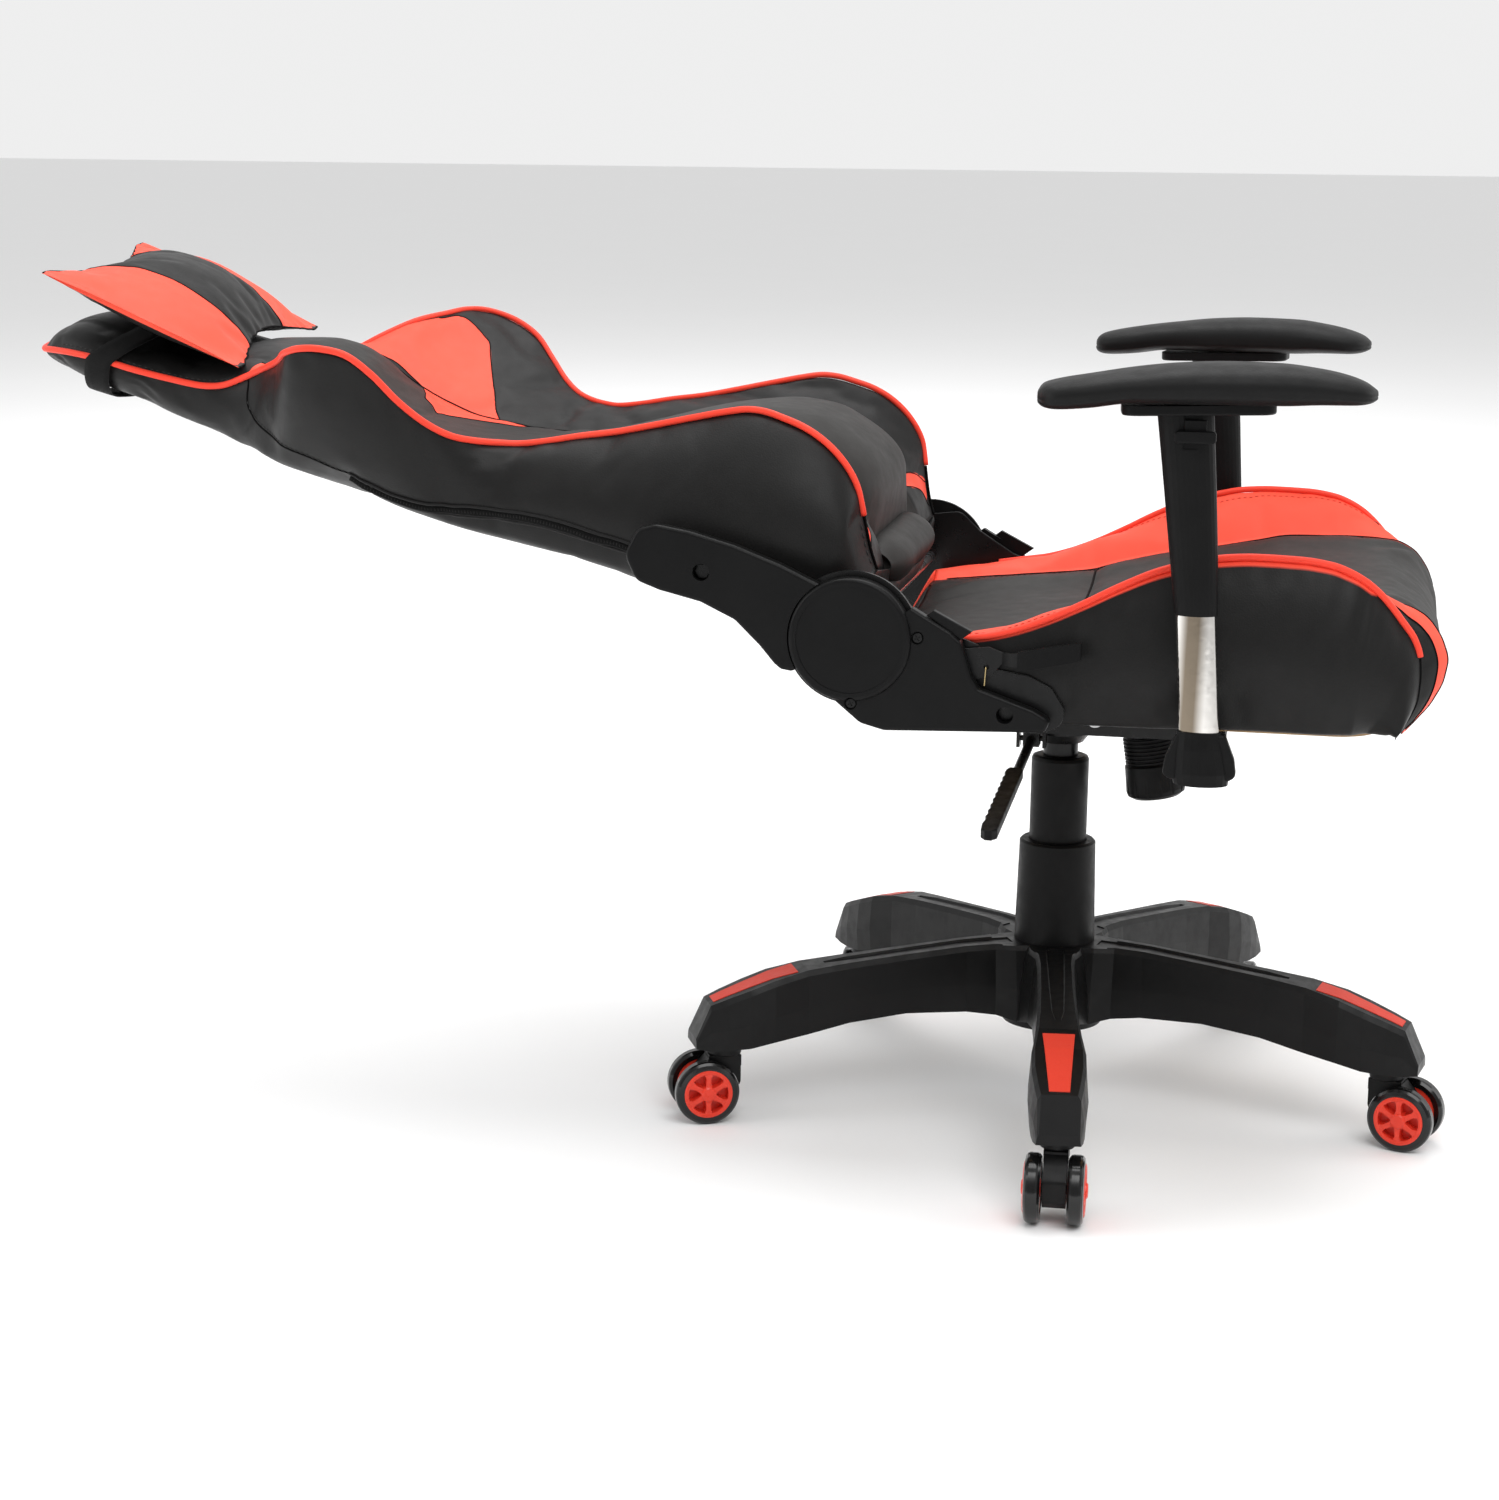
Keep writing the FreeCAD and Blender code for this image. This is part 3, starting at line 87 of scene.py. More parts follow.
def smooth_path(pts, n, closed=False):
    """Centripetal Catmull-Rom through pts, n points evenly spaced by length."""
    P = np.asarray(pts, float)
    if closed:
        Q = np.vstack([P[-1], P, P[0], P[1]])
    else:
        Q = np.vstack([2 * P[0] - P[1], P, 2 * P[-1] - P[-2]])
    out = []
    for i in range(1, len(Q) - 2):
        p0, p1, p2, p3 = Q[i - 1], Q[i], Q[i + 1], Q[i + 2]
        k = 12
        a = [max(np.linalg.norm(q - p), 1e-9) ** 0.5 for p, q in ((p0, p1), (p1, p2), (p2, p3))]
        t0, t1 = 0.0, a[0]
        t2 = t1 + a[1]
        t3 = t2 + a[2]
        for j in range(k):
            t = t1 + (t2 - t1) * j / k
            A1 = (t1 - t) / (t1 - t0) * p0 + (t - t0) / (t1 - t0) * p1
            A2 = (t2 - t) / (t2 - t1) * p1 + (t - t1) / (t2 - t1) * p2
            A3 = (t3 - t) / (t3 - t2) * p2 + (t - t2) / (t3 - t2) * p3
            B1 = (t2 - t) / (t2 - t0) * A1 + (t - t0) / (t2 - t0) * A2
            B2 = (t3 - t) / (t3 - t1) * A2 + (t - t1) / (t3 - t1) * A3
            out.append((t2 - t) / (t2 - t1) * B1 + (t - t1) / (t2 - t1) * B2)
    out.append(Q[-2] if not closed else P[0])
    out = np.array(out)
    L = np.concatenate([[0], np.cumsum(np.linalg.norm(np.diff(out, axis=0), axis=1))])
    s = np.linspace(0, L[-1], n + (1 if closed else 0))
    r = np.stack([np.interp(s, L, out[:, k]) for k in range(out.shape[1])], axis=1)
    return r[:-1] if closed else r


def value_noise(p, scale, seed=0):
    """Smooth 3-D noise in -1..1 at points p (n x 3)."""
    q = np.asarray(p, float) * scale
    i = np.floor(q).astype(np.int64)
    f = q - i
    f = f * f * (3 - 2 * f)
    tot = np.zeros(len(q))
    for dx in (0, 1):
        for dy in (0, 1):
            for dz in (0, 1):
                a = (i[:, 0] + dx) * 73856093 ^ (i[:, 1] + dy) * 19349663 ^ (i[:, 2] + dz) * 83492791 ^ (seed * 2654435761)
                a = (a ^ (a >> 13)) * 1274126177 & 0x7FFFFFFF
                h = ((a ^ (a >> 16)) & 0xFFFF) / 32767.5 - 1.0
                w = (f[:, 0] if dx else 1 - f[:, 0]) * (f[:, 1] if dy else 1 - f[:, 1]) * (f[:, 2] if dz else 1 - f[:, 2])
                tot += h * w
    return tot


# ------------------------------------------------------------------ materials


def new_mat(name):
    m = bpy.data.materials.new(name)
    m.use_nodes = True
    nt = m.node_tree
    for n in list(nt.nodes):
        nt.nodes.remove(n)
    out = nt.nodes.new("ShaderNodeOutputMaterial")
    bs = nt.nodes.new("ShaderNodeBsdfPrincipled")
    nt.links.new(bs.outputs["BSDF"], out.inputs["Surface"])
    tc = nt.nodes.new("ShaderNodeTexCoord")
    return m, nt, bs, tc


def noise(nt, tc, scale, detail=3.0, rough=0.55, stretch=None):
    n = nt.nodes.new("ShaderNodeTexNoise")
    n.inputs["Scale"].default_value = scale
    n.inputs["Detail"].default_value = detail
    n.inputs["Roughness"].default_value = rough
    if stretch:
        mp = nt.nodes.new("ShaderNodeMapping")
        mp.inputs["Scale"].default_value = stretch
        nt.links.new(tc.outputs["Object"], mp.inputs["Vector"])
        nt.links.new(mp.outputs["Vector"], n.inputs["Vector"])
    else:
        nt.links.new(tc.outputs["Object"], n.inputs["Vector"])
    return n.outputs["Fac"]


def voronoi(nt, tc, scale, feature="F1", rand=1.0):
    n = nt.nodes.new("ShaderNodeTexVoronoi")
    n.feature = feature
    n.inputs["Scale"].default_value = scale
    n.inputs["Randomness"].default_value = rand
    nt.links.new(tc.outputs["Object"], n.inputs["Vector"])
    return n.outputs["Distance"]


def remap(nt, fac, lo, hi, a=0.0, b=1.0):
    n = nt.nodes.new("ShaderNodeMapRange")
    n.inputs["From Min"].default_value = a
    n.inputs["From Max"].default_value = b
    n.inputs["To Min"].default_value = lo
    n.inputs["To Max"].default_value = hi
    nt.links.new(fac, n.inputs["Value"])
    return n.outputs["Result"]


def mix_color(nt, fac, c1, c2):
    n = nt.nodes.new("ShaderNodeMix")
    n.data_type = "RGBA"
    n.inputs["A"].default_value = (*c1, 1)
    n.inputs["B"].default_value = (*c2, 1)
    nt.links.new(fac, n.inputs["Factor"])
    return n.outputs["Result"]


def bump(nt, height, strength, dist, prev=None):
    n = nt.nodes.new("ShaderNodeBump")
    n.inputs["Strength"].default_value = strength
    n.inputs["Distance"].default_value = dist
    nt.links.new(height, n.inputs["Height"])
    if prev is not None:
        nt.links.new(prev, n.inputs["Normal"])
    return n.outputs["Normal"]


def leather(name, c1, c2, r0, r1, grain=620.0, depth=0.00022, spec=0.17, crease=0.0005):
    """Coated cloth: pebble grain, soft creases, uneven sheen."""
    m, nt, bs, tc = new_mat(name)
    big = noise(nt, tc, 7.0, 4.0)
    mid = noise(nt, tc, 60.0, 4.0)
    nt.links.new(mix_color(nt, remap(nt, big, 0, 1, 0.3, 0.7), c1, c2), bs.inputs["Base Color"])
    nt.links.new(remap(nt, mid, r0, r1, 0.3, 0.7), bs.inputs["Roughness"])
    bs.inputs["Specular IOR Level"].default_value = spec
    g = voronoi(nt, tc, grain)
    n1 = bump(nt, g, 0.35, depth)
    n2 = bump(nt, noise(nt, tc, 26.0, 3.0), 0.25, crease, n1)
    nt.links.new(n2, bs.inputs["Normal"])
    return m


def leather_tones(name, tones, base, grain=640.0, depth=0.0002, crease=0.0004):
    """Coated cloth in several panels. base and each tone are (colour a, colour b, rough lo, rough hi); a tone shows where its attribute, millimetres inside its outline, is positive."""
    m, nt, bs, tc = new_mat(name)
    big = remap(nt, noise(nt, tc, 7.0, 4.0), 0, 1, 0.3, 0.7)
    mid = noise(nt, tc, 60.0, 4.0)
    col = mix_color(nt, big, base[0], base[1])
    rgh = remap(nt, mid, base[2], base[3], 0.3, 0.7)
    for attr, c1, c2, r0, r1 in tones:
        at = nt.nodes.new("ShaderNodeAttribute")
        at.attribute_name = attr
        k = remap(nt, at.outputs["Fac"], 0, 1, -0.35, 0.35)
        mx = nt.nodes.new("ShaderNodeMix")
        mx.data_type = "RGBA"
        nt.links.new(k, mx.inputs["Factor"])
        nt.links.new(col, mx.inputs["A"])
        nt.links.new(mix_color(nt, big, c1, c2), mx.inputs["B"])
        col = mx.outputs["Result"]
        mr = nt.nodes.new("ShaderNodeMix")
        mr.data_type = "FLOAT"
        nt.links.new(k, mr.inputs["Factor"])
        nt.links.new(rgh, mr.inputs["A"])
        nt.links.new(remap(nt, mid, r0, r1, 0.3, 0.7), mr.inputs["B"])
        rgh = mr.outputs["Result"]
    nt.links.new(col, bs.inputs["Base Color"])
    nt.links.new(rgh, bs.inputs["Roughness"])
    bs.inputs["Specular IOR Level"].default_value = 0.17
    n1 = bump(nt, voronoi(nt, tc, grain), 0.35, depth)
    nt.links.new(bump(nt, noise(nt, tc, 26.0, 3.0), 0.25, crease, n1), bs.inputs["Normal"])
    return m


def inside_mm(P, poly):
    """Signed distance of points P (n x 2) to a closed outline, positive inside."""
    P = np.asarray(P, float)
    Q = np.asarray(poly, float)
    best = np.full(len(P), 1e9)
    wind = np.zeros(len(P), bool)
    for i in range(len(Q)):
        a, b = Q[i], Q[(i + 1) % len(Q)]
        ab = b - a
        t = np.clip(((P - a) @ ab) / max(ab @ ab, 1e-9), 0, 1)
        best = np.minimum(best, np.linalg.norm(P - (a + t[:, None] * ab), axis=1))
        cr = (a[1] > P[:, 1]) != (b[1] > P[:, 1])
        with np.errstate(divide="ignore", invalid="ignore"):
            xx = a[0] + (P[:, 1] - a[1]) / (b[1] - a[1] if b[1] != a[1] else 1e-9) * ab[0]
        wind ^= cr & (P[:, 0] < xx)
    return np.where(wind, best, -best)


def set_attr(ob, name, vals):
    at = ob.data.attributes.new(name, "FLOAT", "POINT")
    at.data.foreach_set("value", np.asarray(vals, np.float32))


def plastic(name, c, r0, r1, tex=900.0, depth=0.00012, spec=0.13, coat=0.0, c2=None):
    m, nt, bs, tc = new_mat(name)
    v = noise(nt, tc, 22.0, 4.0)
    nt.links.new(mix_color(nt, remap(nt, v, 0, 1, 0.35, 0.65), c, c2 or tuple(min(1, k * 1.25) for k in c)), bs.inputs["Base Color"])
    nt.links.new(remap(nt, noise(nt, tc, 95.0, 3.0), r0, r1, 0.35, 0.65), bs.inputs["Roughness"])
    bs.inputs["Specular IOR Level"].default_value = spec
    if coat:
        bs.inputs["Coat Weight"].default_value = coat
        bs.inputs["Coat Roughness"].default_value = 0.12
    nt.links.new(bump(nt, noise(nt, tc, tex, 2.0, 0.7), 0.5, depth), bs.inputs["Normal"])
    return m


def metal(name, c, r0, r1, brush=None, depth=0.00003):
    m, nt, bs, tc = new_mat(name)
    bs.inputs["Metallic"].default_value = 1.0
    f = noise(nt, tc, 40.0, 4.0, 0.6, brush)
    nt.links.new(mix_color(nt, remap(nt, f, 0, 1, 0.3, 0.7), c, tuple(k * 0.82 for k in c)), bs.inputs["Base Color"])
    nt.links.new(remap(nt, f, r0, r1, 0.3, 0.7), bs.inputs["Roughness"])
    nt.links.new(bump(nt, f, 0.3, depth), bs.inputs["Normal"])
    return m


def weave(name, c, scale=1500.0):
    m, nt, bs, tc = new_mat(name)
    w1 = nt.nodes.new("ShaderNodeTexWave")
    w1.wave_type = "BANDS"
    w1.bands_direction = "X"
    w1.inputs["Scale"].default_value = scale / 6.2832 * 2
    nt.links.new(tc.outputs["Object"], w1.inputs["Vector"])
    w2 = nt.nodes.new("ShaderNodeTexWave")
    w2.wave_type = "BANDS"
    w2.bands_direction = "Y"
    w2.inputs["Scale"].default_value = scale / 6.2832 * 2
    nt.links.new(tc.outputs["Object"], w2.inputs["Vector"])
    a = nt.nodes.new("ShaderNodeMath")
    a.operation = "ADD"
    nt.links.new(w1.outputs["Fac"], a.inputs[0])
    nt.links.new(w2.outputs["Fac"], a.inputs[1])
    nt.links.new(mix_color(nt, noise(nt, tc, 120.0, 3.0), c, tuple(k * 1.6 for k in c)), bs.inputs["Base Color"])
    bs.inputs["Roughness"].default_value = 0.85
    bs.inputs["Specular IOR Level"].default_value = 0.12
    bs.inputs["Sheen Weight"].default_value = 0.05
    nt.links.new(bump(nt, a.outputs["Value"], 0.5, 0.0002), bs.inputs["Normal"])
    return m


BLACK = ((0.0078, 0.0076, 0.0075), (0.0108, 0.0106, 0.0104), 0.40, 0.50)
PANEL = ((0.0200, 0.0188, 0.0178), (0.0270, 0.0255, 0.0242), 0.50, 0.60)
RED = ((0.88, 0.082, 0.046), (0.94, 0.098, 0.056), 0.46, 0.58)


def chrome_painted_reflections(name):
    m, nt, bs, tc = new_mat(name)
    bs.inputs["Metallic"].default_value = 1.0
    # Painted reflections: the base colour runs in dark and light bands along the object's X axis, imitating the studio
    # reflected in the chrome.
    w = nt.nodes.new("ShaderNodeTexWave")
    w.wave_type = "BANDS"
    w.bands_direction = "X"
    w.inputs["Scale"].default_value = 9.0
    w.inputs["Distortion"].default_value = 0.6
    w.inputs["Detail"].default_value = 1.0
    w.inputs["Phase Offset"].default_value = 1.9
    nt.links.new(tc.outputs["Object"], w.inputs["Vector"])
    nt.links.new(mix_color(nt, remap(nt, w.outputs["Fac"], 0, 1, 0.15, 0.85), (0.20, 0.165, 0.125), (0.74, 0.72, 0.69)), bs.inputs["Base Color"])
    nt.links.new(remap(nt, noise(nt, tc, 40.0, 3.0), 0.05, 0.11, 0.3, 0.7), bs.inputs["Roughness"])
    return m


M = {
    "pu_two": leather_tones("pu_two", [("panel", *PANEL), ("red", *RED)], BLACK),
    "pu_black": leather("pu_black", *BLACK),
    "pu_panel": leather("pu_panel", *PANEL, grain=760.0),
    "pu_red": leather("pu_red", *RED),
    "piping": leather("piping", (0.86, 0.055, 0.030), (0.92, 0.066, 0.038), 0.38, 0.48, grain=900.0, depth=0.0001),
    "seam": plastic("seam", (0.0015, 0.0015, 0.0015), 0.7, 0.85, spec=0.1),
    "thread": plastic("thread", (0.030, 0.030, 0.030), 0.6, 0.8, spec=0.25),
    "thread_red": plastic("thread_red", (0.50, 0.030, 0.016), 0.6, 0.8, spec=0.25),
    "strap": weave("strap", (0.0060, 0.0060, 0.0060)),
    "zip": weave("zip", (0.0028, 0.0028, 0.0028), 900.0),
    "nylon": plastic("nylon", (0.0045, 0.0045, 0.0046), 0.34, 0.46, tex=700.0, depth=0.0001, spec=0.20),
    "cover": plastic("cover", (0.0040, 0.0040, 0.0041), 0.38, 0.50, tex=1300.0, depth=0.00016),
    "gloss_cover": plastic("gloss_cover", (0.0042, 0.0042, 0.0043), 0.32, 0.42, tex=1200.0, depth=0.00008),
    "insert": leather("insert", (0.74, 0.060, 0.034), (0.66, 0.048, 0.026), 0.38, 0.50, grain=300.0, depth=0.0004),
    "tyre": plastic("tyre", (0.0040, 0.0040, 0.0041), 0.12, 0.20, tex=300.0, depth=0.00003, spec=0.35, coat=0.2),
    "hub": plastic("hub", (0.74, 0.042, 0.020), 0.26, 0.36, tex=500.0, depth=0.00004, spec=0.35, c2=(0.80, 0.052, 0.026)),
    "paint": plastic("paint", (0.0045, 0.0045, 0.0046), 0.26, 0.36, tex=420.0, depth=0.0001, spec=0.24),
    "chrome": chrome_painted_reflections("chrome"),
    "steel": metal("steel", (0.55, 0.55, 0.56), 0.22, 0.38, (1, 1, 0.08), 0.00006),
    "brass_wire": metal("brass_wire", (0.52, 0.40, 0.20), 0.25, 0.40),
    "pad": leather("pad", (0.0045, 0.0045, 0.0046), (0.0068, 0.0068, 0.0068), 0.46, 0.58, grain=420.0, depth=0.0003),
    "ply": plastic("ply", (0.36, 0.22, 0.11), 0.55, 0.7, tex=120.0, c2=(0.48, 0.32, 0.17)),
    "guide": plastic("guide", (0.70, 0.69, 0.64), 0.45, 0.6),
    "grip": plastic("grip", (0.0036, 0.0036, 0.0037), 0.42, 0.56, tex=1100.0, depth=0.0002),
}

# ------------------------------------------------------------------ mesh helpers


def make(name, verts, faces, mats, idx=None, smooth=True):
    me = bpy.data.meshes.new(name)
    me.from_pydata([tuple(v) for v in verts], [], [tuple(int(i) for i in f) for f in faces])
    for m in mats:
        me.materials.append(M[m])
    if idx is not None:
        me.polygons.foreach_set("material_index", np.asarray(idx, np.int32))
    me.polygons.foreach_set("use_smooth", np.full(len(me.polygons), smooth, bool))
    me.validate()
    me.update()
    ob = bpy.data.objects.new(name, me)
    bpy.context.scene.collection.objects.link(ob)
    return ob


def tube(pts, r, sides=8, n=None, closed=False, flat=1.0, up=None):
    """Vertices and faces of a round tube along a smooth path (metres)."""
    P = smooth_path(pts, n, closed) if n else np.asarray(pts, float)
    m = len(P)
    T = np.gradient(P, axis=0)
    if closed:
        T = np.roll(P, -1, 0) - np.roll(P, 1, 0)
    T /= np.linalg.norm(T, axis=1)[:, None] + 1e-12
    ref = np.array(up if up is not None else (0.0, 0.0, 1.0))
    if up is None and abs(T[0] @ ref) > 0.9:
        ref = np.array((0.0, 1.0, 0.0))
    nrm = ref - T[0] * (ref @ T[0])
    nrm /= np.linalg.norm(nrm)
    V, F = [], []
    for i in range(m):
        if up is not None:
            nrm = ref - T[i] * (ref @ T[i])
        else:
            nrm = nrm - T[i] * (nrm @ T[i])
        nrm /= np.linalg.norm(nrm) + 1e-12
        b = np.cross(T[i], nrm)
        rr = r[i] if np.ndim(r) else r
        for k in range(sides):
            a = 2 * math.pi * k / sides
            V.append(P[i] + nrm * math.cos(a) * rr * flat + b * math.sin(a) * rr)
    rows = m if closed else m - 1
    for i in range(rows):
        for k in range(sides):
            a, b2 = i * sides + k, i * sides + (k + 1) % sides
            c, d = ((i + 1) % m) * sides + (k + 1) % sides, ((i + 1) % m) * sides + k
            F.append((a, b2, c, d))
    if not closed:
        F.append(tuple(range(sides))[::-1])
        F.append(tuple((m - 1) * sides + k for k in range(sides)))
    return V, F


def join(parts):
    V, F = [], []
    for v, f in parts:
        o = len(V)
        V += list(v)
        F += [tuple(i + o for i in q) for q in f]
    return V, F


def dashes(pts, n, length=0.0042, gap=0.0022, r=0.00045):
    """Stitches along a path."""
    P = smooth_path(pts, n)
    L = np.concatenate([[0], np.cumsum(np.linalg.norm(np.diff(P, axis=0), axis=1))])
    out = []
    s = gap
    while s + length < L[-1]:
        q = [np.array([np.interp(s + length * t, L, P[:, k]) for k in range(3)]) for t in (0, 0.35, 0.65, 1)]
        out.append(tube(q, np.array([0.35, 1, 1, 0.35]) * r, 5))
        s += length + gap
    return join(out)


def grid_faces(nu, ns, closed_s):
    F = []
    for i in range(nu - 1):
        for j in range(ns if closed_s else ns - 1):
            a, b = i * ns + j, i * ns + (j + 1) % ns
            F.append((a, b, b + ns, a + ns))
    return F


def puff(ob, pin, cap, pressure=4.0, grow=0.03, frames=18, stiff=14.0, bend=0.6, goal=None):
    """Cloth pressure on the piece's own mesh, held at its seams; moves are capped and applied."""
    me = ob.data
    n = len(me.vertices)
    co0 = np.empty(n * 3)
    me.vertices.foreach_get("co", co0)
    co0 = co0.reshape(-1, 3)
    tmp = bpy.data.objects.new("sim_tmp", me.copy())
    bpy.context.scene.collection.objects.link(tmp)
    vg = tmp.vertex_groups.new(name="pin")
    for w in np.unique(np.round(pin, 2)):
        ids = np.nonzero(np.abs(np.round(pin, 2) - w) < 1e-6)[0]
        if w > 0:
            vg.add([int(i) for i in ids], float(w), "REPLACE")
    cl = tmp.modifiers.new("Cloth", "CLOTH")
    s = cl.settings
    s.quality = 5
    s.mass = 0.15
    s.tension_stiffness = s.compression_stiffness = stiff
    s.shear_stiffness = 4.0
    s.bending_stiffness = bend
    s.vertex_group_mass = "pin"
    s.pin_stiffness = 1.0
    s.use_pressure = True
    s.uniform_pressure_force = pressure
    s.shrink_min = -grow
    s.shrink_max = -grow
    s.effector_weights.gravity = 0.0
    cl.collision_settings.use_collision = False
    cl.collision_settings.use_self_collision = False
    cl.point_cache.frame_start = 1
    cl.point_cache.frame_end = frames + 2
    sc = bpy.context.scene
    for f in range(1, frames + 1):
        sc.frame_set(f)
        bpy.context.view_layer.update()
    dg = bpy.context.evaluated_depsgraph_get()
    ev = tmp.evaluated_get(dg)
    em = ev.to_mesh()
    co = np.empty(len(em.vertices) * 3)
    em.vertices.foreach_get("co", co)
    co = co.reshape(-1, 3)
    ev.to_mesh_clear()
    d = co - co0
    d[~np.isfinite(d).all(axis=1)] = 0.0
    ln = np.linalg.norm(d, axis=1)
    k = np.where(ln > cap, cap / np.maximum(ln, 1e-9), 1.0)
    new = co0 + d * k[:, None]
    print("puff", ob.name, "verts", n, "mean move mm %.2f max %.2f" % (ln.mean() * 1000, ln.max() * 1000))
    me.vertices.foreach_set("co", new.reshape(-1))
    me.update()
    tm = tmp.data
    bpy.data.objects.remove(tmp)
    bpy.data.meshes.remove(tm)
    sc.frame_set(1)


def subdiv(ob, lv=1):
    m = ob.modifiers.new("Subdivision", "SUBSURF")
    m.levels = m.render_levels = lv
    return m


def skin_of(ob):
    """The finished surface of a piece, to lay its seams, stitches and zips on."""
    bpy.context.view_layer.update()
    ev = ob.evaluated_get(bpy.context.evaluated_depsgraph_get())
    em = ev.to_mesh()
    tree = BVHTree.FromPolygons([tuple(v.co) for v in em.vertices], [tuple(p.vertices) for p in em.polygons])
    ev.to_mesh_clear()
    return tree


def lay(tree, pts, lift=0.0):
    """Points moved onto a finished surface, then lifted from it by lift mm."""
    out = []
    for p in np.asarray(pts, float):
        q, n, _, _ = tree.find_nearest(Vector(p))
        out.append(np.array(q) + np.array(n) * lift * MM)
    return np.array(out)


def ease(ob, mask, n=6):
    """Relaxes the vertices in mask towards their neighbours."""
    me = ob.data
    co = np.empty(len(me.vertices) * 3)
    me.vertices.foreach_get("co", co)
    co = co.reshape(-1, 3)
    ed = np.empty(len(me.edges) * 2, np.int32)
    me.edges.foreach_get("vertices", ed)
    ed = ed.reshape(-1, 2)
    cnt = np.bincount(ed.reshape(-1), minlength=len(co)).astype(float)[:, None]
    for _ in range(n):
        acc = np.zeros_like(co)
        np.add.at(acc, ed[:, 0], co[ed[:, 1]])
        np.add.at(acc, ed[:, 1], co[ed[:, 0]])
        co = np.where(mask[:, None], 0.4 * co + 0.6 * acc / np.maximum(cnt, 1), co)
    me.vertices.foreach_set("co", co.reshape(-1))
    me.update()


def verts_of(ob):
    co = np.empty(len(ob.data.vertices) * 3)
    ob.data.vertices.foreach_get("co", co)
    return co.reshape(-1, 3)


# ------------------------------------------------------------------ frame of the reclined back
HX, HZ, BETA = -160.0, 480.0, math.radians(15.0)
cB, sB = math.cos(BETA), math.sin(BETA)


def B(u, y, v):
    """Backrest frame in mm -> world metres."""
    u, y, v = np.broadcast_arrays(np.asarray(u, float), np.asarray(y, float), np.asarray(v, float))
    return np.stack([HX - u * cB + v * sB, y, HZ + u * sB + v * cB], axis=-1) * MM


# columns: u, boundary y, centre v, boundary v, inner mid (y, v), piping (y, v), outer mid (y, v), rear corner (y, v), rear centre v
W = [
    (3, 40, 186, 50, 214, 30, 196, -12), (14, 60, 190, 68, 224, 40, 199, -17), (27, 74, 196, 96, 230, 52, 201, -19), (37, 82, 201, 116, 233, 60, 202, -20),
    (62, 96, 201, 139, 236, 68, 204, -21), (97, 104, 197, 152, 238, 70, 206, -21), (134, 104, 189, 154, 236, 70, 206, -20), (188, 94, 182, 133, 230, 62, 206, -19),
    (225, 84, 182, 114, 226, 54, 206, -17), (257, 72, 182, 98, 223, 45, 205, -17), (288, 60, 183, 85, 221, 38, 204, -18), (318, 49, 184, 71, 218, 31, 202, -19),
    (340, 42, 185, 62, 216, 26, 200, -20), (352, 38, 190, 60, 217, 25, 200, -21), (372, 33, 204, 57, 220, 24, 200, -22), (391, 29, 221, 57, 226, 26, 200, -22),
    (411, 26, 237, 64, 236, 30, 200, -22), (435, 24, 257, 78, 248, 38, 200, -22), (460, 22, 273, 94, 257, 46, 200, -21), (484, 25, 280, 101, 261, 50, 199, -20),
    (506, 28, 284, 103, 261, 54, 199, -19), (535, 36, 280, 101, 256, 56, 198, -17), (552, 42, 246, 92, 233, 50, 192, -16), (571, 48, 205, 82, 201, 44, 182, -16),
    (591, 50, 174, 63, 173, 36, 160, -18),
]
CEN = [(3, 44), (22, 50), (28.5, 62), (30.5, 84), (33, 103), (38, 116), (52, 129), (80, 140), (107, 146), (140, 142), (172, 130), (220, 105), (260, 82), (300, 60), (340, 42), (383, 30), (420, 24),
       (475, 22), (500, 26), (524, 34), (560, 54), (587, 62), (605, 61), (620, 56), (651, 46), (664, 40), (700, 38), (750, 41), (782, 43), (804, 35), (817, 20), (826, 7)]
CEN_U = np.array([c[0] for c in CEN], float)
CEN_V = np.array([c[1] for c in CEN], float)
HEAD = [(612, 157, 42, 57, -25), (629, 151, 27, 53, -21), (647, 151, 21, 47, -20), (678, 150, 18, 38, -18), (716, 150, 16, 38, -13), (754, 145, 15, 41, -13), (784, 138, 11.5, 42, -10),
        (804, 126, 7, 34, -9), (816, 114, 3.5, 24, -8), (823, 103, 1.5, 13, -6), (826, 96, 1, 7, -4)]
rows = []
for u, vb, yp, vp, ym, vm, yr, vr in W:
    vc = float(pchip(CEN_U, CEN_V, u))
    mv = vb + 0.40 * (vp - vb)
    if u < 40:
        vc = min(vc, vb + 30)
    rows.append((u, 120.0, vb, 0.5 * (120 + yp), mv, yp, vp, ym, vm, yr, vr, vr))
for u, yp, vp, vf, vr in HEAD:
    yb = min(112.0, yp * 0.72)
    rows.append((u, yb, vf - 0.16 * (vf - vp), yp * 0.92, vf - (vf - vp) * 0.42, yp, vp, yp * 0.985 if u < 640 else yp * 0.97, 0.45 * vp + 0.55 * vr, yp * 0.84, vr + 1.5, vr))
RT = np.array(rows, float)
U_LO, U_HI = RT[0, 0], RT[-1, 0]
# the table is made finer and its small corners are eased, except at the very ends
_uf = np.arange(U_LO, U_HI + 0.01, 2.0)
_uf[-1] = U_HI
_tf = pchip(RT[:, 0], RT[:, 1:], _uf)
_kw = np.exp(-(np.arange(-10, 11) * 2.0 / 7.0) ** 2 / 2)
_kw /= _kw.sum()
_sm = np.stack([np.convolve(np.pad(_tf[:, k], 10, mode="edge"), _kw, "valid") for k in range(_tf.shape[1])], 1)
_w = np.clip(np.minimum((_uf - 40) / 30, (800 - _uf) / 20), 0, 1)[:, None]
RT = np.concatenate([_uf[:, None], _tf * (1 - _w) + _sm * _w], axis=1)


def quad(p, m, q, t):
    """Curve from p to q through m at the middle."""
    return p * (1 - t) * (1 - 2 * t) + m * 4 * t * (1 - t) + q * t * (2 * t - 1)


